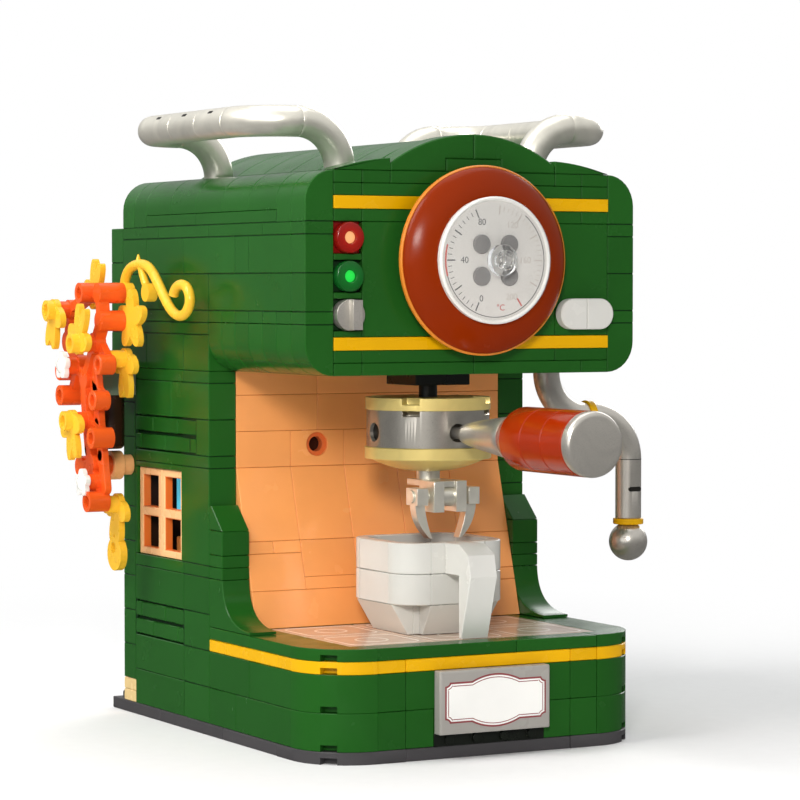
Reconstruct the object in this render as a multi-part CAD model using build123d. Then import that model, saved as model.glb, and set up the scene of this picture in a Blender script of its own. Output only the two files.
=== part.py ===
from build123d import *
import os
from math import cos, radians, sin

os.makedirs("parts", exist_ok=True)

# Building grid of the toy bricks: stud pitch, plate and brick heights, stud size.
PITCH = 8.0
PLATE = 3.2
BRICK = 3 * PLATE
STUD_R = 2.4
STUD_H = 1.8

# Plan of the machine, front towards -Y: twelve studs wide, sixteen deep.
HALF_W = 6 * PITCH
BASE_FRONT = -8 * PITCH
BASE_BACK = 8 * PITCH
HEAD_FRONT = -7 * PITCH
WALL_FRONT = 0.0
WALL_BACK = 7 * PITCH
BAY = HALF_W - PITCH
CORNER_R = 2 * PITCH

# Heights of the courses from the table up.
COURSE_0 = PLATE
COURSE_1 = COURSE_0 + BRICK
TRIM_Z = COURSE_1 + BRICK
DECK_Z = TRIM_Z + PLATE
TRAY_TOP = DECK_Z + PLATE
HEAD_Z = 30 * PLATE
STRIP_LOW = HEAD_Z + 2 * PLATE
STRIP_HIGH = STRIP_LOW + 11 * PLATE
EAVES_Z = HEAD_Z + 13 * PLATE
ROOF_Z = HEAD_Z + 16 * PLATE
SHOULDER_Z = ROOF_Z + PLATE
CROWN_Z = SHOULDER_Z + 2 * PLATE
EDGE_R = PITCH

# Running and standing clearances.
RUN = 0.05
CLEAR = 0.3

# Axes of the moving pieces.
GROUP_Y = -4 * PITCH
WAND_X = 36.0
WAND_Y = -4 * PITCH
HANDLE_Z = 80.7
DIAL_Z = HEAD_Z + 9 * PLATE
LAMP_X = -36.0
SIDE_STUD = 5.6


def save(node, shape):
    export_step(shape, f"parts/{node}.step")


def group(solids):
    return Compound(children=list(solids))


def block(x0, x1, y0, y1, z0, z1):
    centre = Pos((x0 + x1) / 2, (y0 + y1) / 2, (z0 + z1) / 2)
    return centre * Box(x1 - x0, y1 - y0, z1 - z0)


def rod(start, direction, radius, length):
    """A round bar that starts at a point and runs along a direction."""
    seat = Plane(origin=start, z_dir=direction)
    return seat * Cylinder(radius, length, align=(Align.CENTER, Align.CENTER, Align.MIN))


def tube(start, direction, outer, inner, length):
    return rod(start, direction, outer, length) - rod(start, direction, inner, length)


def elbow(centre, start, heading, bend, radius):
    """A quarter bend of round bar: from centre + bend*start, heading along the second direction."""
    start = Vector(*start)
    heading = Vector(*heading)
    mouth = Vector(*centre) + start * bend
    section = Plane(origin=mouth, z_dir=heading) * Circle(radius)
    return revolve(section, Axis(centre, start.cross(heading)), 90)


def prism(edges, way):
    """A flat outline carried along a vector."""
    way = Vector(*way)
    return extrude(make_face(edges), amount=way.length, dir=way.normalized())


def side_prism(points, x0, x1):
    """An outline in Y and Z carried along X."""
    return prism(Polyline([(x0, y, z) for y, z in points], close=True), (x1 - x0, 0, 0))


def turned_y(points, x, z):
    """A profile of (radius, y) turned about a line along Y."""
    outline = Polyline([(x + r, y, z) for r, y in points], close=True)
    return revolve(make_face(outline), Axis((x, 0, z), (0, 1, 0)))


def turned_z(edges, x, y):
    """A profile in the XZ plane through the axis, turned about a line along Z."""
    return revolve(make_face(edges), Axis((x, y, 0), (0, 0, 1)))


def mirrored(shape):
    return mirror(shape, about=Plane.YZ)


# Base: a dark plate, two courses of bricks, a gold band and the deck with its drip tray.
BACK_R = PITCH / 2
NOTCH_W = 4.4
NOTCH_H = 1.7
NOTCH_DEEP = 2.5


def corner_notches(z0):
    """The moulding notch at the foot of each round corner brick."""
    for side in (-1, 1):
        corner = Pos(side * (HALF_W - CORNER_R), BASE_FRONT + CORNER_R, z0 + NOTCH_H / 2)
        turn = Rot(0, 0, -45 if side > 0 else -135)
        yield corner * turn * Pos(CORNER_R, 0, 0) * Box(2 * NOTCH_DEEP, NOTCH_W, NOTCH_H)


plate = block(-HALF_W, HALF_W, BASE_FRONT, BASE_BACK, 0, PLATE)
plate_uprights = plate.edges().filter_by(Axis.Z).sort_by(Axis.Y)
plate = fillet(plate_uprights[:2], CORNER_R)
plate_uprights = plate.edges().filter_by(Axis.Z).sort_by(Axis.Y)
plate = fillet(plate_uprights[-2:], BACK_R)
for notch in corner_notches(0):
    plate -= notch
for column in range(12):
    stud_x = -HALF_W + (column + 0.5) * PITCH
    plate += rod((stud_x, WALL_BACK + PITCH / 2, PLATE), (0, 0, 1), STUD_R, STUD_H)
save("base_plate", plate)


def rounded_front(z0, z1):
    """The base's plan in front of the walls, with its two round corners."""
    slab = block(-HALF_W, HALF_W, BASE_FRONT, WALL_FRONT, z0, z1)
    return fillet(slab.edges().filter_by(Axis.Z).sort_by(Axis.Y)[:2], CORNER_R)


def front_course(z0, z1):
    """One course: a wall a stud thick round the front and both sides."""
    inside = block(-BAY, BAY, BASE_FRONT + PITCH, WALL_FRONT, z0, z1)
    inside = fillet(inside.edges().filter_by(Axis.Z).sort_by(Axis.Y)[:2], CORNER_R - PITCH)
    return rounded_front(z0, z1) - inside


SIGN_W = 4 * PITCH
BRACKET_DEEP = 6.4
bracket_back = BASE_FRONT + BRACKET_DEEP
bracket_room = block(-SIGN_W / 2, SIGN_W / 2, BASE_FRONT, bracket_back, COURSE_0, COURSE_0 + PLATE)
lower_course = front_course(COURSE_0, COURSE_1) - bracket_room
upper_course = front_course(COURSE_1, TRIM_Z)
for notch in corner_notches(COURSE_0):
    lower_course -= notch
for notch in corner_notches(COURSE_1):
    upper_course -= notch
save("base_courses", group([lower_course, upper_course]))

trim = front_course(TRIM_Z, DECK_Z)
for notch in corner_notches(TRIM_Z):
    trim -= notch
save("base_trim", trim)

TRAY_HALF = 36.0
TRAY_FRONT = -57.0
TRAY_BACK = -12.0
TRAY_THICK = PLATE / 2
APRON_FOOT = -12.0


def tray_slab(inset, depth):
    """The tray's plan drawn in by an inset, from its top down to a depth."""
    half = TRAY_HALF - inset
    return block(-half, half, TRAY_FRONT + inset, TRAY_BACK - inset, TRAY_TOP - depth, TRAY_TOP)


deck = rounded_front(DECK_Z, TRAY_TOP) - tray_slab(0, TRAY_THICK)
for notch in corner_notches(DECK_Z):
    deck -= notch
save("tray_deck", deck)

DRAIN_R = 0.8
BORDER = 2.4
BORDER_W = 0.5
BORDER_DEEP = 0.25
tray = tray_slab(0, TRAY_THICK)
tray -= tray_slab(BORDER, BORDER_DEEP) - tray_slab(BORDER + BORDER_W, BORDER_DEEP)
for drain_x in (-30, -24, 24, 30):
    for drain_y in (-48, -36, -24):
        tray -= rod((drain_x, drain_y, TRAY_TOP), (0, 0, -1), DRAIN_R, TRAY_THICK)
save("drip_tray", tray)

SIGN_BREAK = 0.35
sign = block(
    -SIGN_W / 2, SIGN_W / 2, BASE_FRONT - PLATE, BASE_FRONT, COURSE_0 + PLATE, COURSE_0 + PLATE + 2 * PITCH
)
sign = chamfer(sign.faces().sort_by(Axis.Y)[0].edges(), SIGN_BREAK)
save("sign_plate", sign)

bracket = bracket_room
for column in range(4):
    peg_x = (column - 1.5) * PITCH
    bracket += rod((peg_x, BASE_FRONT, COURSE_0 + PLATE / 2), (0, -1, 0), 1.2, 0.8)
save("sign_bracket", bracket)

# Rear body: two side walls with bands of masonry bricks, the back wall and the brew bay's orange lining.
WINDOW_FRONT = 17.6
WINDOW_BACK = 46.4
WINDOW_LOW = 14 * PLATE
WINDOW_HIGH = WINDOW_LOW + 3 * PITCH
BANDS = ((2 * PITCH, TRIM_Z), (PITCH, 23 * PLATE))
BAND_BACK = 6 * PITCH
GROOVE_W = 0.8
GROOVE_DEEP = 0.7
TAN_FRONT = 6 * PITCH


def masonry_band(front_y, z0):
    """Two rows of small blocks: three level joints with staggered upright joints between."""
    x0 = HALF_W - GROOVE_DEEP
    x1 = HALF_W + GROOVE_DEEP
    half = GROOVE_W / 2
    for row in range(3):
        level = min(max(z0 + row * BRICK / 2, z0 + half), z0 + BRICK - half)
        yield block(x0, x1, front_y, BAND_BACK, level - half, level + half)
    for row, first in enumerate((PITCH / 2, PITCH * 1.5)):
        foot = z0 + row * BRICK / 2
        joint_y = front_y + first
        while joint_y < BAND_BACK:
            yield block(x0, x1, joint_y - half, joint_y + half, foot, foot + BRICK / 2)
            joint_y += 2 * PITCH


def side_wall(side):
    wall = block(BAY, HALF_W, WALL_FRONT, WALL_BACK, COURSE_0, HEAD_Z)
    for front_y, foot in BANDS:
        for joint in masonry_band(front_y, foot):
            wall -= joint
    return wall if side > 0 else mirrored(wall)


left_wall = side_wall(-1)
left_wall -= block(-HALF_W, -BAY, WINDOW_FRONT, WINDOW_BACK, WINDOW_LOW, WINDOW_HIGH)
left_wall -= block(-HALF_W, -BAY, TAN_FRONT, WALL_BACK, COURSE_0, COURSE_0 + 2 * PLATE)
save("left_wall", left_wall)
save("right_wall", side_wall(1))
save("back_wall", block(-BAY, BAY, WALL_BACK - PITCH, WALL_BACK, COURSE_0, HEAD_Z))

corner_stack = []
for layer in range(2):
    foot = COURSE_0 + layer * PLATE
    corner_stack.append(block(-HALF_W, -BAY, TAN_FRONT, WALL_BACK, foot, foot + PLATE))
save("corner_plates", group(corner_stack))

WINDOW_Y = (WINDOW_FRONT + WINDOW_BACK) / 2
WINDOW_Z = (WINDOW_LOW + WINDOW_HIGH) / 2
SASH_SET_BACK = 0.75
SASH_DEEP = 2.4
SASH_EAR = 0.8
STILE_OUT = 1.2
STILE_IN = 2.0
SASH_FOOT = 2.5
SASH_HEAD = 1.9
SASH_BAR = 2.3


def sash():
    """The rear window frame: two panes above each other, and rails that run past the stile to the jamb."""
    x0 = -HALF_W + SASH_SET_BACK
    x1 = x0 + SASH_DEEP
    frame = block(x0, x1, WINDOW_Y, WINDOW_BACK, WINDOW_LOW, WINDOW_HIGH)
    ear = WINDOW_BACK - SASH_EAR
    lower = (WINDOW_LOW + SASH_FOOT, WINDOW_Z - SASH_BAR / 2)
    upper = (WINDOW_Z + SASH_BAR / 2, WINDOW_HIGH - SASH_HEAD)
    for foot, top in (lower, upper):
        frame -= block(x0, x1, WINDOW_Y + STILE_IN, ear - STILE_OUT, foot, top)
        frame -= block(x0, x1, ear, WINDOW_BACK, foot, top)
    return frame


window_middle = Plane(origin=(0, WINDOW_Y, 0), z_dir=(0, 1, 0))
save("window_frames", group([sash(), mirror(sash(), about=window_middle)]))

LINING = 4.8
LINING_BEND = 22 * PLATE
SOCKET_X = -2 * PITCH
SOCKET_Z = 76.5
SOCKET_R = PITCH / 2
panel = block(-BAY, BAY, WALL_FRONT, WALL_FRONT + LINING, LINING_BEND, HEAD_Z)
panel -= rod((SOCKET_X, WALL_FRONT, SOCKET_Z), (0, 1, 0), SOCKET_R, LINING)
save("wall_socket", tube((SOCKET_X, WALL_FRONT - 0.6, SOCKET_Z), (0, 1, 0), SOCKET_R, STUD_R, LINING + 0.6))
apron = side_prism(
    [
        (WALL_FRONT, LINING_BEND),
        (APRON_FOOT, TRAY_TOP),
        (APRON_FOOT + LINING, TRAY_TOP),
        (WALL_FRONT + LINING, LINING_BEND),
    ],
    -BAY,
    BAY,
)
save("niche_lining", group([panel, apron]))

# Gussets that spread each column onto the deck: a curved foot, a block and a sloped cap.
FOOT_TOP = 13 * PLATE
FOOT_TOE = -3 * PITCH
BLOCK_TOP = 17 * PLATE
CAP_TOP = 19 * PLATE
TOE_THICK = 0.8
GUSSET_FRONT = -PITCH


def gusset_foot():
    toe = (BAY, FOOT_TOE, TRAY_TOP + TOE_THICK)
    knee = (BAY, GUSSET_FRONT - 4.2, TRAY_TOP + 4.0)
    head = (BAY, GUSSET_FRONT, FOOT_TOP)
    back_top = (BAY, WALL_FRONT, FOOT_TOP)
    back_low = (BAY, WALL_FRONT, TRAY_TOP)
    toe_low = (BAY, FOOT_TOE, TRAY_TOP)
    walls = Polyline([head, back_top, back_low, toe_low, toe])
    return prism([ThreePointArc(toe, knee, head), walls], (PITCH, 0, 0))


def gusset_head():
    return side_prism(
        [
            (WALL_FRONT, FOOT_TOP),
            (GUSSET_FRONT, FOOT_TOP),
            (GUSSET_FRONT, BLOCK_TOP),
            (WALL_FRONT - 1.2, CAP_TOP),
            (WALL_FRONT, CAP_TOP),
        ],
        BAY,
        HALF_W,
    )


save("gusset_feet", group([gusset_foot(), mirrored(gusset_foot())]))
save("gusset_heads", group([gusset_head(), mirrored(gusset_head())]))

# A stack of bricks inside the body that shows through the window, the middle one drawn in.
INNER_X = -4.9 * PITCH
INNER_Y = 3.5 * PITCH
INNER_L = 1.5 * PITCH
INNER_LOW = 15.5 * PLATE
INNER_DRAW = 2.4
inner_stack = []
inner_layers = ((COURSE_0, INNER_LOW, 0), (INNER_LOW, WINDOW_Z, INNER_DRAW), (WINDOW_Z, WINDOW_HIGH, 0))
for foot, top, draw in inner_layers:
    x0 = INNER_X + draw
    x1 = INNER_X + PITCH - draw
    inner_stack.append(block(x0, x1, INNER_Y + draw, INNER_Y + INNER_L - draw, foot, top))
save("inner_bricks", group(inner_stack))

# Head: floor, sides with a rounded lower edge over the bay, back with its step, and the fascia.
BACK_STEP = BASE_BACK
STEP_Z = HEAD_Z + 12 * PLATE
POST_R = 3.5
AXLE_R = STUD_R
BODY_FRONT = HEAD_FRONT + PITCH
floor = block(-BAY, BAY, BODY_FRONT, WALL_BACK - PITCH, HEAD_Z, HEAD_Z + PLATE)
floor -= rod((0, GROUP_Y, HEAD_Z), (0, 0, 1), AXLE_R + RUN, PLATE)
floor -= rod((WAND_X, WAND_Y, HEAD_Z), (0, 0, 1), POST_R + RUN, PLATE)
save("head_floor", floor)


def head_side():
    side = block(BAY, HALF_W, BODY_FRONT, WALL_BACK, HEAD_Z, EAVES_Z)
    side += block(BAY, HALF_W, WALL_BACK, BACK_STEP, HEAD_Z, STEP_Z)
    inner = (BAY, BODY_FRONT, HEAD_Z)
    corner = (HALF_W, BODY_FRONT, HEAD_Z)
    outer = (HALF_W, BODY_FRONT, HEAD_Z + EDGE_R)
    middle = (BAY + EDGE_R * sin(radians(45)), BODY_FRONT, HEAD_Z + EDGE_R * (1 - cos(radians(45))))
    sliver = [ThreePointArc(inner, middle, outer), Polyline([outer, corner, inner])]
    return side - prism(sliver, (0, WALL_FRONT - BODY_FRONT, 0))


save("head_sides", group([head_side(), mirrored(head_side())]))
back_outline = [
    (WALL_BACK - PITCH, HEAD_Z),
    (BACK_STEP, HEAD_Z),
    (BACK_STEP, STEP_Z),
    (WALL_BACK, STEP_Z),
    (WALL_BACK, ROOF_Z - PLATE),
    (WALL_BACK - PITCH, ROOF_Z - PLATE),
]
save("head_back", side_prism(back_outline, -BAY, BAY))

BOSS_R = 20.0
STRIP_DEEP = PLATE
KNOB_Z = STRIP_LOW + PLATE + SIDE_STUD
fascia = block(-HALF_W, HALF_W, HEAD_FRONT, BODY_FRONT, HEAD_Z, ROOF_Z)
fascia = fillet(fascia.edges().filter_by(Axis.Y), EDGE_R - 0.01)
for strip_z in (STRIP_LOW, STRIP_HIGH):
    fascia -= block(-BAY, BAY, HEAD_FRONT, HEAD_FRONT + STRIP_DEEP, strip_z, strip_z + PLATE)
boss = rod((0, HEAD_FRONT, DIAL_Z), (0, -1, 0), BOSS_R, PLATE)
fascia += boss
CELL_HALF = PITCH / 2
cell_back = HEAD_FRONT + PLATE / 2
for row in range(3):
    cell_z = KNOB_Z + row * BRICK
    cell = block(LAMP_X - CELL_HALF, LAMP_X + CELL_HALF, HEAD_FRONT, cell_back, -CELL_HALF, CELL_HALF)
    fascia -= Pos(0, 0, cell_z) * cell
fascia += rod((LAMP_X, cell_back, KNOB_Z), (0, -1, 0), STUD_R, STUD_H)
save("fascia", fascia)

STRIP_PROUD = 0.2
strips = []
for strip_z in (STRIP_LOW, STRIP_HIGH):
    strip = block(-BAY, BAY, HEAD_FRONT - STRIP_PROUD, HEAD_FRONT + STRIP_DEEP, strip_z, strip_z + PLATE)
    strips.append(strip - boss)
save("gold_strips", group(strips))

# Crest of the fascia: two halves of an arch between two shoulders; the roof carries the arch back.
ARCH_HALF = 3 * PITCH
SPRING_Z = ROOF_Z + 2.0
SHOULDER_BULGE = 2.2


def arch(y0, y1, sink):
    """The low arch of the crest carried along Y."""
    left = (-ARCH_HALF, y0, SPRING_Z - sink)
    right = (ARCH_HALF, y0, SPRING_Z - sink)
    walls = Polyline([right, (ARCH_HALF, y0, ROOF_Z), (-ARCH_HALF, y0, ROOF_Z), left])
    return prism([ThreePointArc(left, (0, y0, CROWN_Z - sink), right), walls], (0, y1 - y0, 0))


def shoulder():
    """The right shoulder: a curve from the roof's edge up to the arch, which starts a little lower."""
    toe = (BAY, HEAD_FRONT, ROOF_Z)
    bulge = ((BAY + ARCH_HALF) / 2, HEAD_FRONT, ROOF_Z + SHOULDER_BULGE)
    head = (ARCH_HALF, HEAD_FRONT, SHOULDER_Z)
    walls = Polyline([head, (ARCH_HALF, HEAD_FRONT, ROOF_Z), toe])
    return prism([ThreePointArc(toe, bulge, head), walls], (0, PITCH, 0))


right_half = block(0, ARCH_HALF, HEAD_FRONT, BODY_FRONT, ROOF_Z, CROWN_Z)
crest = [arch(HEAD_FRONT, BODY_FRONT, 0) & right_half, shoulder()]
save("fascia_arch", group(crest + [mirrored(piece) for piece in crest]))
CREST_GAP = 3.0
CREST_SINK = 0.6
save("roof_arch", arch(BODY_FRONT + CREST_GAP, WALL_BACK, CREST_SINK))
save("roof_deck", block(-BAY, BAY, BODY_FRONT, WALL_BACK, ROOF_Z - PLATE, ROOF_Z))


def edge_piece(y0, length):
    """A brick of the roof's long edge: a low straight foot and a quarter round above it."""
    spring_z = ROOF_Z - EDGE_R
    outer = (HALF_W, y0, spring_z)
    top = (BAY, y0, ROOF_Z)
    middle = (BAY + EDGE_R * cos(radians(45)), y0, spring_z + EDGE_R * sin(radians(45)))
    walls = Polyline([top, (BAY, y0, EAVES_Z), (HALF_W, y0, EAVES_Z), outer])
    return prism([ThreePointArc(outer, middle, top), walls], (0, length, 0))


edge_pieces = []
edge_y = BODY_FRONT
for studs in (1, 2, 2, 2, 2, 2, 1, 1):
    piece = edge_piece(edge_y, studs * PITCH)
    edge_pieces.append(piece)
    edge_pieces.append(mirrored(piece))
    edge_y += studs * PITCH
save("roof_edges", group(edge_pieces))

# Lamps, selector knob and name plate on the fascia.
LENS_R = 3.9
LENS_BREAK = 0.4
LENS_BORE = 1.6
LENS_BORE_DEEP = 1.0


def lens(z):
    """A round lamp lens: a round plate in its cell, with a shallow bore in the middle."""
    disc = rod((LAMP_X, cell_back, z), (0, -1, 0), LENS_R, PLATE)
    disc = chamfer(disc.faces().sort_by(Axis.Y)[0].edges(), LENS_BREAK)
    return disc - rod((LAMP_X, cell_back - PLATE, z), (0, 1, 0), LENS_BORE, LENS_BORE_DEEP)


save("green_lens", lens(KNOB_Z + BRICK))
save("red_lens", lens(KNOB_Z + 2 * BRICK))

KNOB_R = 3.9
KNOB_SKIRT = 2.9
RIDGE_H = 2.1
RIDGE_L = 7.4
RIDGE_FROM = -0.4
RIDGE_TO = 2.2
knob_back = cell_back - CLEAR
ridge_back = knob_back - KNOB_SKIRT
knob = rod((LAMP_X, knob_back, KNOB_Z), (0, -1, 0), KNOB_R, KNOB_SKIRT)
ridge = block(LAMP_X + RIDGE_FROM, LAMP_X + RIDGE_TO, ridge_back - RIDGE_H, ridge_back, 0, RIDGE_L)
knob += Pos(0, 0, KNOB_Z - RIDGE_L / 2) * ridge
knob -= rod((LAMP_X, knob_back, KNOB_Z), (0, -1, 0), STUD_R + RUN, STUD_H)
save("selector_knob", knob)

NAME_X = 4 * PITCH
NAME_Z = KNOB_Z


def name_half():
    """A tile with one half-round end."""
    half = PITCH / 2
    tile = block(NAME_X, NAME_X + half, HEAD_FRONT - PLATE, HEAD_FRONT, NAME_Z - half, NAME_Z + half)
    return tile + rod((NAME_X + half, HEAD_FRONT, NAME_Z), (0, -1, 0), half, PLATE)


name_left = mirror(name_half(), about=Plane(origin=(NAME_X, 0, 0), z_dir=(1, 0, 0)))
save("name_tiles", group([name_half(), name_left]))

# Dial: a dished bezel on the fascia's boss, the face, its studs, the clear dome and its knob.
DIAL_R = 3 * PITCH
FACE_R = 2 * PITCH
BOSS_Y = HEAD_FRONT - PLATE
RIM_T = 2.4
DISH_RISE = 3.8
DISH_LIP = 0.4
RIM_BREAK = 0.8
FACE_T = 1.2
DOME_RISE = 2.3
DOME_T = 0.7
dish_front = BOSS_Y - RIM_T
dish_top = dish_front - DISH_RISE
rim = (DIAL_R, dish_front, DIAL_Z)
flank = (20.8, dish_front - 0.6 * DISH_RISE, DIAL_Z)
lip = (FACE_R + DISH_LIP, dish_top, DIAL_Z)
bezel_back = [
    lip,
    (0, dish_top, DIAL_Z),
    (0, BOSS_Y, DIAL_Z),
    (DIAL_R - RIM_BREAK, BOSS_Y, DIAL_Z),
    (DIAL_R, BOSS_Y - RIM_BREAK, DIAL_Z),
    rim,
]
bezel_outline = [ThreePointArc(rim, flank, lip), Polyline(bezel_back)]
dial_axis = Axis((0, 0, DIAL_Z), (0, 1, 0))
save("dial_dish", revolve(make_face(bezel_outline), dial_axis))
face_y = dish_top - FACE_T
FACE_STUD_H = 0.8
dial_face = rod((0, dish_top, DIAL_Z), (0, -1, 0), FACE_R, FACE_T)
for stud_x in (-PITCH / 2, PITCH / 2):
    for stud_z in (-PITCH / 2, PITCH / 2):
        dial_face += rod((stud_x, face_y, DIAL_Z + stud_z), (0, -1, 0), STUD_R, FACE_STUD_H)
save("dial_face", dial_face)

HUB_R = 1.5
DOME_EDGE = 0.6
dome_peak = face_y - DOME_RISE
dome_under = dome_peak + DOME_T
edge_top = (FACE_R, face_y - DOME_EDGE, DIAL_Z)
edge_low = (FACE_R, face_y, DIAL_Z)
edge_in = (FACE_R - 1.6, face_y, DIAL_Z)
hub_top = (HUB_R + RUN, dome_peak, DIAL_Z)
hub_low = (HUB_R + RUN, dome_under, DIAL_Z)
dome_outline = [
    ThreePointArc(edge_top, (9.0, face_y - 1.85, DIAL_Z), hub_top),
    Line(hub_top, hub_low),
    ThreePointArc(hub_low, (8.5, face_y - 1.2, DIAL_Z), edge_in),
    Polyline([edge_in, edge_low, edge_top]),
]
save("dial_glass", revolve(make_face(dome_outline), dial_axis))

DIAL_KNOB_R = 3.9
DIAL_KNOB_H = 2.0
DIAL_STUD_H = 1.7
DIAL_KNOB_BORE = 1.6
hub_front = dome_peak - CLEAR
knob_face = hub_front - DIAL_KNOB_H
dial_knob = rod((0, dome_under + CLEAR, DIAL_Z), (0, -1, 0), HUB_R, dome_under - hub_front + 2 * CLEAR)
dial_knob += rod((0, hub_front, DIAL_Z), (0, -1, 0), DIAL_KNOB_R, DIAL_KNOB_H)
dial_knob += rod((0, knob_face, DIAL_Z), (0, -1, 0), STUD_R, DIAL_STUD_H)
dial_knob -= rod((0, knob_face, DIAL_Z), (0, -1, 0), DIAL_KNOB_BORE, DIAL_STUD_H)
save("dial_knob", dial_knob)

# Cup rails on the roof: bent ends on four posts, three slotted tubes each side.
RAIL_R = 4.0
RAIL_BEND = 12.0
RAIL_Z = 160.0
RAIL_POST_X = 3.5 * PITCH
RAIL_POST_Y = 4.5 * PITCH
RAIL_RUN_X = RAIL_POST_X + 2 * RAIL_BEND
RAIL_SEG = 2 * PITCH
POST_FOOT = ROOF_Z
RAIL_SLOT_L = 2.6
RAIL_SLOT_W = 0.9


def rail_bends(end):
    """One end of the right rail: the bend up from the roof and the bend along the side."""
    post_y = end * RAIL_POST_Y
    rise = elbow(
        (RAIL_POST_X + RAIL_BEND, post_y, RAIL_Z - RAIL_BEND), (-1, 0, 0), (0, 0, 1), RAIL_BEND, RAIL_R
    )
    rise += rod((RAIL_POST_X, post_y, POST_FOOT), (0, 0, 1), RAIL_R, RAIL_Z - RAIL_BEND - POST_FOOT)
    run_in = (RAIL_POST_X + RAIL_BEND, post_y - end * RAIL_BEND, RAIL_Z)
    along = elbow(run_in, (0, end, 0), (1, 0, 0), RAIL_BEND, RAIL_R)
    return [rise, along]


def rail_tube(y0):
    """A straight tube with a short slot in its upper side."""
    bar = rod((RAIL_RUN_X, y0, RAIL_Z), (0, 1, 0), RAIL_R, RAIL_SEG)
    slot_y = y0 + RAIL_SEG / 2
    return bar - block(
        RAIL_RUN_X - RAIL_SLOT_W / 2,
        RAIL_RUN_X + RAIL_SLOT_W / 2,
        slot_y - RAIL_SLOT_L / 2,
        slot_y + RAIL_SLOT_L / 2,
        RAIL_Z + RAIL_R - 1,
        RAIL_Z + RAIL_R,
    )


bends = rail_bends(-1) + rail_bends(1)
save("rail_elbows", group(bends + [mirrored(bend) for bend in bends]))
tubes = [rail_tube((step - 1.5) * RAIL_SEG) for step in range(3)]
save("rail_tubes", group(tubes + [mirrored(bar) for bar in tubes]))

# Group head, turning on a stem under the head floor.
DRUM_R = 16.0
DISC_R = 16.3
DISC_LOW = HEAD_Z - 3 * PLATE
DRUM_LOW = DISC_LOW - BRICK
DISH_LOW = DRUM_LOW - PLATE
SPOUT_TOP = DISH_LOW - PLATE
turntable = block(-PITCH, PITCH, GROUP_Y - PITCH, GROUP_Y + PITCH, HEAD_Z - PLATE, HEAD_Z)
turntable -= rod((0, GROUP_Y, HEAD_Z - PLATE), (0, 0, 1), AXLE_R + RUN, PLATE)
save("turntable_plate", turntable)

AXLE_HEAD_R = 4.0
AXLE_HEAD_H = 1.6
axle_top = HEAD_Z + PLATE + CLEAR
axle = rod((0, GROUP_Y, DISC_LOW), (0, 0, 1), AXLE_R, axle_top - DISC_LOW)
axle += rod((0, GROUP_Y, axle_top), (0, 0, 1), AXLE_HEAD_R, AXLE_HEAD_H)
save("group_axle", axle)

DISC_NOTCH_W = 4.7
DISC_NOTCH_H = 1.7
DRUM_NOTCH_H = 1.5


def round_the_drum(count, first, tool):
    """Copies of a tool that points along +X, set round the group's axis."""
    for step in range(count):
        yield Pos(0, GROUP_Y, 0) * Rot(0, 0, first + step * 360 / count) * tool


top_disc = rod((0, GROUP_Y, DISC_LOW), (0, 0, 1), DISC_R, PLATE)
top_disc -= rod((0, GROUP_Y, DISC_LOW), (0, 0, 1), AXLE_R, PLATE)
disc_top = DISC_LOW + PLATE
notch_half = DISC_NOTCH_W / 2
disc_notch = block(DRUM_R - 4.4, DISC_R + 1, -notch_half, notch_half, disc_top - DISC_NOTCH_H, disc_top)
for notch in round_the_drum(4, 45, disc_notch):
    top_disc -= notch
save("group_top_disc", top_disc)

PORT_R = 2.45
PORT_DEEP = 5.0
BAR_R = 1.6
BAR_DEEP = 9.0
drum = rod((0, GROUP_Y, DRUM_LOW), (0, 0, 1), DRUM_R, BRICK)
drum_notch = block(DRUM_R - 4.4, DRUM_R + 1, -notch_half, notch_half, DISC_LOW - DRUM_NOTCH_H, DISC_LOW)
for notch in round_the_drum(4, 45, drum_notch):
    drum -= notch
port = rod((DRUM_R - PORT_DEEP, 0, HANDLE_Z), (1, 0, 0), PORT_R, PORT_DEEP + 1)
for hole in round_the_drum(4, 0, port):
    drum -= hole
drum -= rod((0, GROUP_Y - DRUM_R, HANDLE_Z), (0, 1, 0), BAR_R, BAR_DEEP)
save("group_drum", drum)

STEM_R = 3.1
dish_rim_r = DISC_R + 0.2
dish_profile = [
    Polyline(
        [
            (0, GROUP_Y, SPOUT_TOP),
            (0, GROUP_Y, DRUM_LOW),
            (dish_rim_r, GROUP_Y, DRUM_LOW),
            (dish_rim_r, GROUP_Y, DISH_LOW),
            (dish_rim_r - 1.4, GROUP_Y, DISH_LOW),
        ]
    ),
    ThreePointArc(
        (dish_rim_r - 1.4, GROUP_Y, DISH_LOW), (10.6, GROUP_Y, DISH_LOW - 1.95), (4.2, GROUP_Y, SPOUT_TOP)
    ),
    Line((4.2, GROUP_Y, SPOUT_TOP), (0, GROUP_Y, SPOUT_TOP)),
]
save("group_lower_dish", turned_z(dish_profile, 0, GROUP_Y))

# Spout: a bridge under the dish, two cheeks with a pin and the bar that carries both claws.
SPOUT_Y = GROUP_Y - PITCH
CHEEK_X = 3.3
CHEEK_T = 3.0
CHEEK_TOP = 68.2
CHEEK_LOW = 60.2
BAR_Z = 64.2
CLAW_PIN_R = 1.6
BAR_END = 9.6
CLIP_IN = 6.0
CLIP_OUT = 9.2
spout = rod((0, GROUP_Y, CHEEK_TOP), (0, 0, 1), STEM_R, SPOUT_TOP - CHEEK_TOP)
spout += block(-PITCH / 2, PITCH / 2, SPOUT_Y - 3, GROUP_Y + PITCH / 2, CHEEK_TOP - 1.6, CHEEK_TOP)
for side in (-1, 1):
    spout += block(
        side * CHEEK_X - CHEEK_T / 2,
        side * CHEEK_X + CHEEK_T / 2,
        SPOUT_Y - 4,
        SPOUT_Y + 4,
        CHEEK_LOW,
        CHEEK_TOP,
    )
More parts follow.
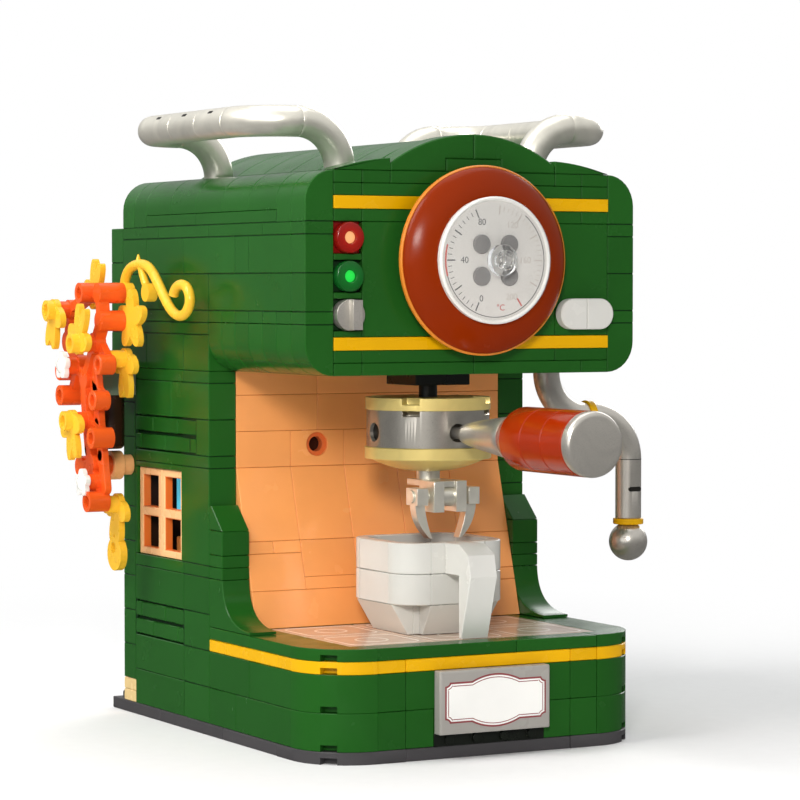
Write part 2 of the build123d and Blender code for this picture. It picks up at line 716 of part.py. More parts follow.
spout += rod((-CHEEK_X, SPOUT_Y - 0.6, BAR_Z), (1, 0, 0), 2.7, 2 * CHEEK_X)
spout += rod((-BAR_END, SPOUT_Y, BAR_Z), (1, 0, 0), CLAW_PIN_R, 2 * BAR_END)
save("spout_block", spout)

CLAW_TIP = 53.3
CLAW_T = 3.0
CLIP_H = 4.4
CLIP_D = 6.0


def claw():
    """A clip round the bar with a horn that sweeps down and inwards to a point."""
    clip = block(
        CLIP_IN, CLIP_OUT, SPOUT_Y - CLIP_D / 2, SPOUT_Y + CLIP_D / 2, BAR_Z - CLIP_H / 2, BAR_Z + CLIP_H / 2
    )
    horn_top = BAR_Z - CLIP_H / 2 + 0.4
    y0 = SPOUT_Y - CLAW_T / 2
    outer_top = (CLIP_OUT - 0.2, y0, horn_top)
    inner_top = (CLIP_IN + 0.2, y0, horn_top)
    tip_out = (4.6, y0, CLAW_TIP)
    tip_in = (3.9, y0, CLAW_TIP)
    outline = [
        ThreePointArc(outer_top, (7.6, y0, 57.0), tip_out),
        Line(tip_out, tip_in),
        ThreePointArc(tip_in, (5.5, y0, 58.0), inner_top),
        Line(inner_top, outer_top),
    ]
    horn = prism(outline, (0, CLAW_T, 0))
    bore = rod((CLIP_IN, SPOUT_Y, BAR_Z), (1, 0, 0), CLAW_PIN_R + RUN, CLIP_OUT - CLIP_IN)
    return clip + horn - bore


save("claw_right", claw())
save("claw_left", mirrored(claw()))

# Filter handle: a bar out of the drum's front port, a silver neck, three barrel bricks and a cap.
NECK_START = 20.0
NECK_FULL = 27.0
NECK_R = 5.8
NECK_END_R = 5.4
BEVEL_START = 44.0
BARREL_START = 50.0
BARREL_R = PITCH
CAP_T = PLATE
CAP_ROUND = 1.4


def reach(distance):
    """A distance out from the group's axis, as a Y coordinate."""
    return GROUP_Y - distance


neck_outline = [
    (0, reach(DRUM_R - BAR_DEEP)),
    (BAR_R, reach(DRUM_R - BAR_DEEP)),
    (BAR_R, reach(NECK_START - 1)),
    (STUD_R + 0.4, reach(NECK_START)),
    (NECK_R, reach(NECK_FULL)),
    (NECK_END_R, reach(BEVEL_START)),
    (0, reach(BEVEL_START)),
]
save("handle_neck", turned_y(neck_outline, 0, HANDLE_Z))

SEAM = 0.25
barrel = []
for step in range(3):
    near = BARREL_START + step * BRICK
    far = near + BRICK
    first = [(0, reach(BEVEL_START)), (NECK_END_R, reach(BEVEL_START)), (BARREL_R, reach(near))]
    later = [(0, reach(near)), (BARREL_R - SEAM, reach(near)), (BARREL_R, reach(near + SEAM))]
    profile = first if step == 0 else later
    profile += [(BARREL_R, reach(far - SEAM)), (BARREL_R - SEAM, reach(far)), (0, reach(far))]
    barrel.append(turned_y(profile, 0, HANDLE_Z))
save("handle_barrel", group(barrel))

cap_start = BARREL_START + 3 * BRICK
cap = rod((0, reach(cap_start), HANDLE_Z), (0, -1, 0), BARREL_R, CAP_T)
cap = fillet(cap.faces().sort_by(Axis.Y)[0].edges(), CAP_ROUND)
save("handle_cap", cap)

# Steam wand: two bends and a tube, gold rings at the joints and a ball tip.
WAND_BEND = 12.0
WAND_TOP = HEAD_Z - CLEAR
COLLAR_W = 2.0
RING_H = 1.6
RING_R = 4.1
WAND_SEG = 2 * PITCH
TIP_R = 5.2
arm_z = WAND_TOP - WAND_BEND
collar_x = WAND_X + WAND_BEND
drop_x = collar_x + COLLAR_W + WAND_BEND
tube_top = arm_z - WAND_BEND
tube_low = tube_top - WAND_SEG
post_head = HEAD_Z + PLATE + CLEAR
upper_bend = elbow((collar_x, WAND_Y, WAND_TOP), (-1, 0, 0), (0, 0, -1), WAND_BEND, POST_R)
upper_bend += rod((WAND_X, WAND_Y, WAND_TOP), (0, 0, 1), POST_R, post_head - WAND_TOP)
upper_bend += rod((WAND_X, WAND_Y, post_head), (0, 0, 1), POST_R + 0.4, AXLE_HEAD_H)
lower_bend = elbow((collar_x + COLLAR_W, WAND_Y, tube_top), (0, 0, 1), (1, 0, 0), WAND_BEND, POST_R)
wand_tube = rod((drop_x, WAND_Y, tube_low), (0, 0, 1), POST_R, WAND_SEG)
slot_z = (tube_top + tube_low) / 2
wand_tube -= block(
    drop_x - RAIL_SLOT_L / 2,
    drop_x + RAIL_SLOT_L / 2,
    WAND_Y - POST_R,
    WAND_Y - POST_R + 1,
    slot_z - RAIL_SLOT_W / 2,
    slot_z + RAIL_SLOT_W / 2,
)
save("wand_pipe", group([upper_bend, lower_bend, wand_tube]))
collar = rod((collar_x, WAND_Y, arm_z), (1, 0, 0), RING_R, COLLAR_W)
ring = rod((drop_x, WAND_Y, tube_low - RING_H), (0, 0, 1), RING_R, RING_H)
save("wand_rings", group([collar, ring]))
tip_top = tube_low - RING_H
tip_drop = 4.7
ball = Pos(drop_x, WAND_Y, tip_top - tip_drop) * Sphere(TIP_R)
flat_top = block(drop_x - TIP_R, drop_x + TIP_R, WAND_Y - TIP_R, WAND_Y + TIP_R, tip_top - 2 * TIP_R, tip_top)
save("wand_tip", ball & flat_top)

# Cup on the tray: a foot with four slopes, two square rings with round corners, the coffee and a hook handle.
CUP_HALF = 2 * PITCH
CUP_R = PITCH
CUP_WALL = PLATE
CUP_LAYER = PITCH
CUP_FOOT_HALF = 11.2
CUP_LIFT = 0.05
COFFEE_DROP = 2.4
cup_low = TRAY_TOP + CUP_LIFT
ring_low = TRAY_TOP + CUP_LAYER
cup_top = ring_low + 2 * CUP_LAYER


def rounded_plan(half, corner, z):
    return Pos(0, GROUP_Y, z) * RectangleRounded(2 * half, 2 * half, corner)


def rounded_prism(half, corner, z0, z1):
    return extrude(rounded_plan(half, corner, z0), amount=z1 - z0)


CUP_CORE = 9.6
foot = block(-CUP_CORE, CUP_CORE, GROUP_Y - CUP_CORE, GROUP_Y + CUP_CORE, cup_low, ring_low)
slope_outline = [(CUP_CORE, cup_low), (CUP_FOOT_HALF, cup_low), (CUP_HALF, ring_low), (CUP_CORE, ring_low)]
for quarter in range(4):
    half = PITCH if quarter % 2 else CUP_CORE
    slope = prism(Polyline([(x, -half, z) for x, z in slope_outline], close=True), (0, 2 * half, 0))
    foot += Pos(0, GROUP_Y, 0) * Rot(0, 0, 90 * quarter) * slope
save("cup_foot", foot)
inner_half = CUP_HALF - CUP_WALL
inner_r = CUP_R - CUP_WALL
cup_layers = []
for layer in range(2):
    z0 = ring_low + layer * CUP_LAYER
    z1 = z0 + CUP_LAYER
    cup_layers.append(rounded_prism(CUP_HALF, CUP_R, z0, z1) - rounded_prism(inner_half, inner_r, z0, z1))
save("cup_rings", group(cup_layers))
save("coffee", rounded_prism(inner_half, inner_r, ring_low, cup_top - COFFEE_DROP))

HOOK_W = PITCH
hook_root = GROUP_Y - CUP_HALF
hook = side_prism(
    [
        (hook_root, cup_top),
        (hook_root - 7.0, cup_top),
        (hook_root - 11.9, cup_top - 2.5),
        (hook_root - 13.2, cup_top - CUP_LAYER),
        (hook_root - 8.4, cup_low),
        (hook_root - 7.2, cup_low),
        (hook_root - 7.1, cup_top - CUP_LAYER),
        (hook_root, cup_top - CUP_LAYER),
    ],
    -HOOK_W / 2,
    HOOK_W / 2,
)
save("cup_handle", hook)

# Climbing plant by the window: bracket, lantern and anchor on the wall, then the stems that they carry.
STALK_X = -62.0
STALK_T = 3.0
STALK_W = 2.6
KNUCKLE_R = 2.8
SPUR_L = 3.0
SPUR_BORE = 1.6
LEAF_T = 1.6
stalk_out = STALK_X - STALK_T / 2
stalk_in = STALK_X + STALK_T / 2
WALL_X = -HALF_W

HOLDER_Y = 51.0
HOLDER_LOW = 88.4
HOLDER_TOP = 97.6
save("vine_bracket", block(stalk_in, WALL_X, HOLDER_Y - 4, HOLDER_Y + 4, HOLDER_LOW, HOLDER_TOP))

LANTERN_X = -54.2
LANTERN_LOW = 73.6
lantern = rod((LANTERN_X, HOLDER_Y, LANTERN_LOW), (0, 0, 1), PITCH / 2, HOLDER_LOW - LANTERN_LOW)
save("lantern", chamfer(lantern.faces().sort_by(Axis.Z)[0].edges(), 0.8))

ANCHOR_Y = 51.0
ANCHOR_Z = 69.0
anchor_x = WALL_X - 2 * PLATE
anchor = rod((anchor_x, ANCHOR_Y, ANCHOR_Z), (1, 0, 0), PITCH / 2, PLATE)
anchor += rod((WALL_X - PLATE, ANCHOR_Y, ANCHOR_Z), (1, 0, 0), KNUCKLE_R, PLATE)
save("vine_anchor", anchor)


def stalk(points):
    """A flat stalk through points of (y, z), with a round knuckle at each."""
    pieces = []
    for (y0, z0), (y1, z1) in zip(points, points[1:]):
        step = Vector(0, y1 - y0, z1 - z0)
        seat = Plane(
            origin=(STALK_X, (y0 + y1) / 2, (z0 + z1) / 2), x_dir=step.normalized(), z_dir=(1, 0, 0)
        )
        pieces.append(seat * Box(step.length, STALK_W, STALK_T))
    for y, z in points:
        pieces.append(rod((stalk_out, y, z), (1, 0, 0), KNUCKLE_R, STALK_T))
    return pieces


def peg(place, length):
    """A plain peg on the stalk's outer side, for a leaf or a blossom."""
    return rod((stalk_out, *place), (-1, 0, 0), STUD_R, length)


TOP = (38.0, 116.5)
CROOK = (43.5, 116.5)
ARM = (58.5, 111.8)
HIP = (60.0, 103.0)
UPPER_BLOSSOM = (53.0, 96.6)
LOW_SPUR = (57.5, 88.3)
SHOULDER = (37.0, 109.0)
COLLAR = (41.4, 102.9)
WAIST = (47.8, 93.0)
KNEE = (46.5, 81.7)
SIDE_SPUR = (35.5, 77.4)
ANKLE = (43.4, 70.0)
ANCHOR = (ANCHOR_Y, ANCHOR_Z)
LOWER_BLOSSOM = (41.4, 65.0)
TAIL = (38.6, 60.0)
stem_pieces = stalk([CROOK, TOP, SHOULDER, COLLAR, WAIST, KNEE, ANKLE, LOWER_BLOSSOM, TAIL])
stem_pieces += stalk([CROOK, ARM, HIP, UPPER_BLOSSOM, WAIST])
stem_pieces += stalk([UPPER_BLOSSOM, LOW_SPUR])
stem_pieces += stalk([KNEE, SIDE_SPUR])
stem_pieces += stalk([ANKLE, ANCHOR])
for place in (ARM, COLLAR, KNEE, UPPER_BLOSSOM):
    stem_pieces.append(peg(place, SPUR_L))
LOWER_PEG = 2.0
stem_pieces.append(peg(LOWER_BLOSSOM, LOWER_PEG))
stem_pieces.append(rod((stalk_in, *TOP), (1, 0, 0), KNUCKLE_R, SPUR_L + 1.5))
stem_pieces.append(rod((stalk_in, *SHOULDER), (1, 0, 0), KNUCKLE_R, SPUR_L + 1.0))
stem_pieces.append(rod((stalk_in, *ANCHOR), (1, 0, 0), KNUCKLE_R, anchor_x - stalk_in))
stems = stem_pieces[0].fuse(*stem_pieces[1:])
for place in (CROOK, LOW_SPUR, SIDE_SPUR, TAIL):
    stems += tube((stalk_out, *place), (-1, 0, 0), KNUCKLE_R, SPUR_BORE, SPUR_L)
save("vine_stems", stems)

# Leaves lie parallel to the wall; the flat outline is drawn as seen from outside, base at the origin.
TWIN_LOBE = (1.9, 5.0)
SIDE_LOBE = (2.6, 3.6)
PETAL = (2.5, 4.2)
LEAF_BASE_R = 3.0


def lobe(size, turn, reach_out):
    return Rot(0, 0, turn) * Pos(0, reach_out) * Ellipse(*size)


def leaf_outline():
    outline = Sketch() + Circle(LEAF_BASE_R)
    for side in (-1, 1):
        outline += lobe(TWIN_LOBE, side * 13, 5.8)
        outline += lobe(SIDE_LOBE, side * 68, 3.6)
    return outline


def flower_outline():
    outline = Sketch() + Circle(LEAF_BASE_R)
    for petal in range(5):
        outline += lobe(PETAL, petal * 72, 4.2)
    return outline


def on_wall(outline, x, place, turn):
    """A leaf blade whose inner face is at x, turned about its base."""
    seat = Plane(origin=(x, *place), x_dir=(0, -1, 0), z_dir=(-1, 0, 0))
    return seat * Rot(0, 0, turn) * extrude(outline, amount=LEAF_T)


def outer_leaf(place, turn):
    """A leaf on a peg outside the stalk, with its hollow stud towards the viewer."""
    x = stalk_out - SPUR_L
    stud = tube((x - LEAF_T, *place), (-1, 0, 0), STUD_R + 0.3, SPUR_BORE, 2.0)
    return on_wall(leaf_outline(), x, place, turn) + stud


def inner_leaf(place, turn, stand_off):
    """A leaf between stalk and wall, its stud against the stalk."""
    x = stalk_in + stand_off + LEAF_T
    blade = on_wall(leaf_outline(), x, place, turn)
    if stand_off > 0:
        blade += rod((stalk_in, *place), (1, 0, 0), STUD_R, stand_off)
    return blade


PENDANT_R = 4.6
PENDANT = (40.8, 45.4)
PENDANT_HOLE = 1.5
FLOWER = (31.8, 109.2)
SPRIG = (37.8, 98.6)
CREST = (48.2, 115.0)
flower_x = stalk_in + SPUR_L + 1.0
flower = on_wall(flower_outline(), flower_x + LEAF_T, FLOWER, 0)
tail_leaf = inner_leaf((39.6, 59.0), 173, SPUR_L)
pendant_x = stalk_in + SPUR_L
pendant = rod((pendant_x, *PENDANT), (1, 0, 0), PENDANT_R, LEAF_T + 0.4)
pendant -= rod((pendant_x, PENDANT[0] + 0.6, PENDANT[1] + 1.6), (1, 0, 0), PENDANT_HOLE, LEAF_T + 0.4)
leaves = [
    inner_leaf(CREST, -16, 0),
    outer_leaf(ARM, 168),
    outer_leaf(COLLAR, -18),
    outer_leaf(KNEE, 190),
    inner_leaf(SPRIG, 180, SPUR_L + 1.7),
    flower,
    tail_leaf + pendant,
]

# Tendril: an arch that runs down into a hook, with a small curl under the arch.
TENDRIL_R = 1.35
CURL_R = 2.5
CURL = (22.9, 116.7)
CURL_NECK = (26.7, 120.7)
CURL_ROOT = (28.2, 123.9)
CURL_STEM_R = 1.1
THORN = (30.2, 123.6)
THORN_L = 3.3
tendril_x = stalk_in + SPUR_L + 1.5 + TENDRIL_R


def vine(radius, points):
    """A round shoot along a smooth curve through points of (y, z)."""
    spine = Spline([(tendril_x, *point) for point in points])
    return sweep(Plane(origin=spine @ 0, z_dir=spine % 0) * Circle(radius), path=spine)


tendril = vine(
    TENDRIL_R,
    [
        (39.6, 118.3),
        (37.6, 121.9),
        (30.7, 124.2),
        (22.8, 123.1),
        (17.5, 119.3),
        (12.8, 115.1),
        (8.1, 111.8),
        (3.4, 110.6),
        (-0.9, 111.8),
        (-2.9, 114.6),
        (-1.7, 117.4),
        (1.6, 118.7),
        (5.2, 118.1),
        (7.4, 116.0),
    ],
)
tendril += rod((tendril_x - TENDRIL_R, *TOP), (1, 0, 0), KNUCKLE_R, 2 * TENDRIL_R)
tendril += vine(CURL_STEM_R, [CURL_ROOT, CURL_NECK, CURL])
tendril += rod((tendril_x - TENDRIL_R, *CURL), (1, 0, 0), CURL_R, 2 * TENDRIL_R)
thorn = Cone(TENDRIL_R, TENDRIL_R / 6, THORN_L, align=(Align.CENTER, Align.CENTER, Align.MIN))
tendril += Pos(tendril_x, *THORN) * thorn
leaves.append(tendril)
save("vine_leaves", group(leaves))

BLOSSOM_CORE = 2.2
BLOSSOM_PETAL = (1.6, 1.9)
BLOSSOM_REACH = 2.0


def blossom_outline():
    outline = Sketch() + Circle(BLOSSOM_CORE)
    for petal in range(5):
        outline += lobe(BLOSSOM_PETAL, petal * 72, BLOSSOM_REACH)
    return outline


upper_blossom = on_wall(blossom_outline(), stalk_out - SPUR_L, UPPER_BLOSSOM, 0)
lower_blossom = on_wall(blossom_outline(), stalk_out - LOWER_PEG, LOWER_BLOSSOM, 0)
save("vine_blossoms", group([upper_blossom, lower_blossom]))
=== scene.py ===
import math

import bmesh
import bpy
import numpy as np
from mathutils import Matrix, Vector


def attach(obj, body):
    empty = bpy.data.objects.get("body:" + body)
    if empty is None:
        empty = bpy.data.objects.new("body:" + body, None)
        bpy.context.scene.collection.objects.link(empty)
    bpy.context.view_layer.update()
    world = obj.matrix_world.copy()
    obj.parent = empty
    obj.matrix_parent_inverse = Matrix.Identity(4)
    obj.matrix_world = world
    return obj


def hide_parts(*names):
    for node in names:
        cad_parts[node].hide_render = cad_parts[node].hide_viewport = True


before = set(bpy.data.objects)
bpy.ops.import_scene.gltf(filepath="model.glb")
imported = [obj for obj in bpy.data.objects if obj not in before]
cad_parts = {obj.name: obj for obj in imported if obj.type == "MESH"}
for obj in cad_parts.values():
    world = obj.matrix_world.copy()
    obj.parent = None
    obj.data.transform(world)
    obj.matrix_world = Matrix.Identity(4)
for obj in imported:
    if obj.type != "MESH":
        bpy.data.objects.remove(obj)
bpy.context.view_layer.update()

# The camera and the lamps: a long lens a little above the cup, where the photograph was taken from. A small
# lamp in front on the left gives the highlights and the shadow, and three wide ones at the window's side,
# behind and overhead fill in.
MM = 0.001
scene = bpy.context.scene
scene.view_settings.view_transform = "Standard"


def facing(name, data, place, look):
    """Sets a camera or a lamp at a place, turned to look along a direction."""
    thing = bpy.data.objects.new(name, data)
    thing.location = place
    thing.rotation_mode = "QUATERNION"
    thing.rotation_quaternion = look.to_track_quat("-Z", "Y")
    scene.collection.objects.link(thing)
    return thing


heading = math.radians(28.587)
dip = math.radians(2.094)
view = Vector((math.sin(heading) * math.cos(dip), math.cos(heading) * math.cos(dip), -math.sin(dip)))
lens = bpy.data.cameras.new("eye")
lens.lens = 138.79
lens.sensor_width = 36.0
scene.camera = facing("eye", lens, Vector((-390.66, -733.69, 118.07)) * MM, view)
for name, place, target, size, power, tint in (
    ("front_key", (-0.66, -1.06, 0.5), (0, 0, 0.07), 0.22, 8.0, (1.0, 0.98, 0.95)),
    ("window_side", (-0.42, -0.02, 0.52), (0, 0, 0.1), 0.35, 2.8, (1.0, 0.99, 0.97)),
    ("rear_fill", (0.75, 0.6, 0.5), (0, 0, 0.09), 0.6, 4.0, (1.0, 1.0, 1.0)),
    ("over_head", (0.1, 0.1, 1.2), (0, 0, 0.1), 0.9, 3.5, (1.0, 1.0, 1.0)),
):
    light = bpy.data.lights.new(name, "AREA")
    light.size = size
    light.energy = power
    light.color = tint
    facing(name, light, place, Vector(target) - Vector(place))


# The studio round it: white to the eye and through clear parts, a weak even fill for the light, and in
# reflections a sky that brightens upwards, with one bright card on the left.
def feed(tree, node, inputs):
    """Fills a node's inputs, each with a plain value, an output, or the first output of another node."""
    for socket, value in dict(inputs).items():
        if isinstance(value, bpy.types.Node):
            value = value.outputs[0]
        if isinstance(value, bpy.types.NodeSocket):
            tree.links.new(value, node.inputs[socket])
        else:
            node.inputs[socket].default_value = value


def add(tree, kind, inputs=(), **settings):
    """Adds a shader node of a kind to a tree, with its settings and its inputs."""
    node = tree.nodes.new("ShaderNode" + kind)
    for setting, value in settings.items():
        setattr(node, setting, value)
    feed(tree, node, inputs)
    return node


def remap(tree, value, low, high, new_low=0.0, new_high=1.0, ease="LINEAR"):
    """Carries a value from one range to another and holds it at both ends."""
    ends = {"Value": value, "From Min": low, "From Max": high, "To Min": new_low, "To Max": new_high}
    return add(tree, "MapRange", ends, interpolation_type=ease)


def seen_ray(tree):
    """A mask of the rays that show the white background: those from the camera and through clear parts."""
    ray = add(tree, "LightPath").outputs
    return add(tree, "Math", {0: ray["Is Camera Ray"], 1: ray["Is Transmission Ray"]}, operation="MAXIMUM")


def by_ray(tree, seen, plain, gloss, white):
    """Mixes three shaders: one for plain light, one for reflections, and white where the mask is set."""
    glossy = add(tree, "LightPath").outputs["Is Glossy Ray"]
    lit = add(tree, "MixShader", {0: glossy, 1: plain, 2: gloss})
    return add(tree, "MixShader", {0: seen, 1: lit, 2: white})


scene.world = bpy.data.worlds.new("studio")
scene.world.use_nodes = True
sky = scene.world.node_tree
sky.nodes.clear()
way = add(sky, "TexCoord").outputs["Generated"]
height = add(sky, "SeparateXYZ", {0: way}).outputs["Z"]
upward = remap(sky, height, 0.0, 0.6, 0.34, 1.0, "SMOOTHSTEP")
leftness = add(sky, "VectorMath", {0: way, 1: (-0.85, -0.5, 0.16)}, operation="DOT_PRODUCT")
card = remap(sky, leftness.outputs["Value"], 0.88, 0.97, 0.0, 1.8, "SMOOTHSTEP")
sky_fill = add(sky, "Background", {"Color": (0.96, 0.98, 1.0, 1), "Strength": 0.27})
sky_light = add(sky, "Math", {0: upward, 1: card})
sky_gloss = add(sky, "Background", {"Color": (0.8, 0.8, 0.8, 1), "Strength": sky_light})
sky_white = add(sky, "Background", {"Color": (1, 1, 1, 1)})
add(sky, "OutputWorld", {"Surface": by_ray(sky, seen_ray(sky), sky_fill, sky_gloss, sky_white)})


# The floor is a matt white sheet that runs out level behind the model and takes its shadow. Some way off
# it fades into the white background.
def floor_sheet(half, steps):
    """A level grid: x and y run evenly from -half to half, z is nought."""
    run = np.linspace(-half, half, steps)
    x, y = np.meshgrid(run, run, indexing="ij")
    points = np.stack([x, y, np.zeros_like(x)], -1).reshape(-1, 3)
    ids = np.arange(steps * steps).reshape(steps, steps)
    faces = np.stack([ids[:-1, :-1], ids[1:, :-1], ids[1:, 1:], ids[:-1, 1:]], -1).reshape(-1, 4)
    mesh = bpy.data.meshes.new("table_sheet")
    mesh.from_pydata(points.tolist(), [], faces.tolist())
    sheet = bpy.data.objects.new("table_sheet", mesh)
    scene.collection.objects.link(sheet)
    return sheet


table_sheet = floor_sheet(4.0, 9)
paper = bpy.data.materials.new("white_paper")
paper.use_nodes = True
paper_tree = paper.node_tree
paper_at = add(paper_tree, "TexCoord").outputs["Object"]
fibre = add(paper_tree, "TexNoise", {"Vector": paper_at, "Scale": 220.0})
matt = paper_tree.nodes["Principled BSDF"]
paper_tint = remap(paper_tree, fibre, 0.0, 1.0, 0.9, 0.94)
feed(paper_tree, matt, {"Base Color": paper_tint, "Roughness": 0.9, "Specular IOR Level": 0.1})
away = add(paper_tree, "VectorMath", {0: paper_at}, operation="LENGTH").outputs["Value"]
fade = remap(paper_tree, away, 0.13, 0.4, ease="SMOOTHSTEP")
faded = add(paper_tree, "Math", {0: fade, 1: seen_ray(paper_tree)}, operation="MULTIPLY")
paper_dim = add(paper_tree, "Emission", {"Strength": 0.15})
paper_white = add(paper_tree, "Emission", {"Color": (1, 1, 1, 1)})
paper_look = by_ray(paper_tree, faded, matt, paper_dim, paper_white)
feed(paper_tree, paper_tree.nodes["Material Output"], {"Surface": paper_look})
table_sheet.data.materials.append(paper)

# Base plate: flat dark grey plates laid edge to edge under everything, round at the two front corners,
# moulded in hard plastic, with a row of studs left open on the ledge behind the back wall.
PLATE = 3.2
STUD_PITCH = 8.0


def seat(piece, material, body, slot, *nodes):
    """Puts a piece into the scene with its material, the body it rides on, its slot and the nodes it
    stands for."""
    scene.collection.objects.link(piece)
    piece.data.materials.append(material)
    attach(piece, body)
    if nodes:
        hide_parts(*nodes)


def skin(name, rings, material, slot, *nodes, body="housing", sharp=30.0, hoop=False):
    """Makes and seats a piece of closed skins over stacked rings: rings[n, k, p] is point p of ring k of
    shape n, in millimetres. Neighbouring rings are joined by four-sided faces. Each end ring is closed by
    one flat face, or in a hoop the last ring is joined to the first. Every shape gets a number of its own,
    tone, by which one brick differs a little from the next."""
    rings = np.asarray(rings, float) * MM
    rings = rings.reshape(-1, *rings.shape[-3:])
    shapes, levels, points = rings.shape[:3]
    ids = np.arange(shapes * levels * points).reshape(shapes, levels, points)
    low = ids if hoop else ids[:, :-1]
    high = np.roll(ids, -1, 1) if hoop else ids[:, 1:]
    sides = np.stack([low, np.roll(low, -1, 2), np.roll(high, -1, 2), high], -1).reshape(-1, 4)
    ends = [] if hoop else ids[:, 0, ::-1].tolist() + ids[:, -1].tolist()
    mesh = bpy.data.meshes.new(name)
    mesh.from_pydata(rings.reshape(-1, 3).tolist(), [], sides.tolist() + ends)
    tone = np.random.default_rng(shapes + levels).random(shapes).astype(np.float32)
    per_brick = mesh.attributes.new("tone", "FLOAT", "POINT")
    per_brick.data.foreach_set("value", np.repeat(tone, levels * points))
    mesh.shade_smooth()
    mesh.set_sharp_from_angle(angle=math.radians(sharp))
    seat(bpy.data.objects.new(name, mesh), material, body, slot, *nodes)


def finish_group(name, pattern):
    """A node group for a finish. It takes a colour and a polish; the pattern gives what scales the colour,
    what is added to the polish, and the height."""
    tree = bpy.data.node_groups.new(name, "ShaderNodeTree")
    for socket, way, kind in (
        ("Colour", "INPUT", "Color"),
        ("Polish", "INPUT", "Float"),
        ("Colour", "OUTPUT", "Color"),
        ("Roughness", "OUTPUT", "Float"),
        ("Height", "OUTPUT", "Float"),
    ):
        tree.interface.new_socket(socket, in_out=way, socket_type="NodeSocket" + kind)
    given = tree.nodes.new("NodeGroupInput").outputs
    tint, rub, height = pattern(tree, add(tree, "TexCoord").outputs["Object"])
    shade = add(tree, "VectorMath", {0: given["Colour"], "Scale": tint}, operation="SCALE")
    polish = add(tree, "Math", {0: given["Polish"], 1: rub})
    made = tree.nodes.new("NodeGroupOutput")
    feed(tree, made, {"Colour": shade, "Roughness": polish, "Height": height})
    return tree


def moulded(tree, where):
    """Moulded plastic: cloudy colour, a little different from brick to brick, and a skin that is polished
    unevenly, with a fine orange-peel height."""
    cloud = add(tree, "TexNoise", {"Vector": where, "Scale": 38.0, "Detail": 4.0})
    peel = add(tree, "TexNoise", {"Vector": where, "Scale": 1500.0, "Detail": 2.0})
    rub = add(tree, "TexNoise", {"Vector": where, "Scale": 130.0, "Detail": 6.0})
    brick_tone = add(tree, "Attribute", attribute_name="tone").outputs["Fac"]
    by_brick = remap(tree, brick_tone, 0.0, 1.0, 0.94, 1.06)
    by_cloud = remap(tree, cloud, 0.3, 0.7, 0.94, 1.06)
    tint = add(tree, "Math", {0: by_brick, 1: by_cloud}, operation="MULTIPLY")
    return tint, remap(tree, rub, 0.35, 0.75, -0.04, 0.08), peel


MOULDED = finish_group("moulded_finish", moulded)


def srgb(colour):
    """A screen colour of 0 to 255 as the linear colour that a shader takes."""
    value = np.array(colour) / 255
    linear = np.where(value <= 0.04045, value / 12.92, ((value + 0.055) / 1.055) ** 2.4)
    return (*linear.tolist(), 1.0)


def plastic(name, colour, polish=0.25, gloss=0.35, coat=0.0, more=(), peel=0.04, finish=MOULDED):
    """Hard plastic in one screen colour under a finish; more holds further inputs of its shader."""
    material = bpy.data.materials.new(name)
    material.use_nodes = True
    tree = material.node_tree
    made = add(tree, "Group", {"Colour": srgb(colour), "Polish": polish}, node_tree=finish)
    bump = add(tree, "Bump", {"Strength": peel, "Distance": 0.2 * MM, "Height": made.outputs["Height"]})
    feed(tree, tree.nodes["Principled BSDF"], {
        "Base Color": made.outputs["Colour"],
        "Roughness": made.outputs["Roughness"],
        "Normal": bump,
        "Specular IOR Level": gloss,
        "Coat Weight": coat,
        "Coat Roughness": 0.1,
        **dict(more),
    })
    return material


def arc(centre, radius, start, end, steps):
    """Points on a circle from one angle to another, in degrees."""
    turn = np.radians(np.linspace(start, end, steps))
    return np.stack([centre[0] + radius * np.cos(turn), centre[1] + radius * np.sin(turn)], -1)


def lifted(plan, rise):
    """Flat outlines, each set at its own height."""
    rise = np.asarray(rise, float)
    return np.concatenate([plan, np.broadcast_to(rise[:, None, None], (*plan.shape[:2], 1))], -1)


def both(rings):
    """Rings and their mirror image across the middle, there run backwards so that they face outwards."""
    rings = np.asarray(rings)
    return np.stack([rings, rings[..., ::-1, :] * (-1, 1, 1)])


def corner_pair(low, high, inner=None):
    """Rings of the left and right round corner bricks of a course: an outer arc of two studs, then the inner
    edge, carried up six levels. On the lower levels the middle of the outer arc is set in by the depth of
    the moulding notch. The inner edge is an arc of one stud unless its points are given."""
    centre = (-32, -48)
    near = np.linspace(0, 36.6, 8)
    notch = np.concatenate([[37.0], np.linspace(37.1, 52.9, 4), [53.0]])
    turn = np.concatenate([near, notch, 90 - near[::-1]])
    notched = (turn > 37.05) & (turn < 52.95)
    rise = [low, low + 0.17, low + 1.65, low + 1.7, high - 0.2, high - 0.03]
    draw = np.array([0.2, 0.03, 0.03, 0.03, 0.03, 0.2])
    deep = np.array([2.5, 2.5, 2.5, 0, 0, 0])
    outer_r = 2 * STUD_PITCH - draw[:, None] - deep[:, None] * notched
    angle = np.radians(180 + turn)
    outer = np.stack([outer_r * np.cos(angle), outer_r * np.sin(angle)], -1) + centre
    inner = arc(centre, STUD_PITCH + 0.05, 270, 180, 13) if inner is None else np.asarray(inner, float)
    plan = np.concatenate([outer, np.broadcast_to(inner, (6, *inner.shape))], 1)
    return both(lifted(plan, rise))


BASE_GREY = plastic("base_grey", (72, 70, 72), 0.4, 0.25)
plate_inner = [(-24.05, -63.97), (-24.05, -40.05), (-47.97, -40.05)]
skin("base_corner_plates", corner_pair(0, PLATE, plate_inner), BASE_GREY, "dark_grey", "base_plate")


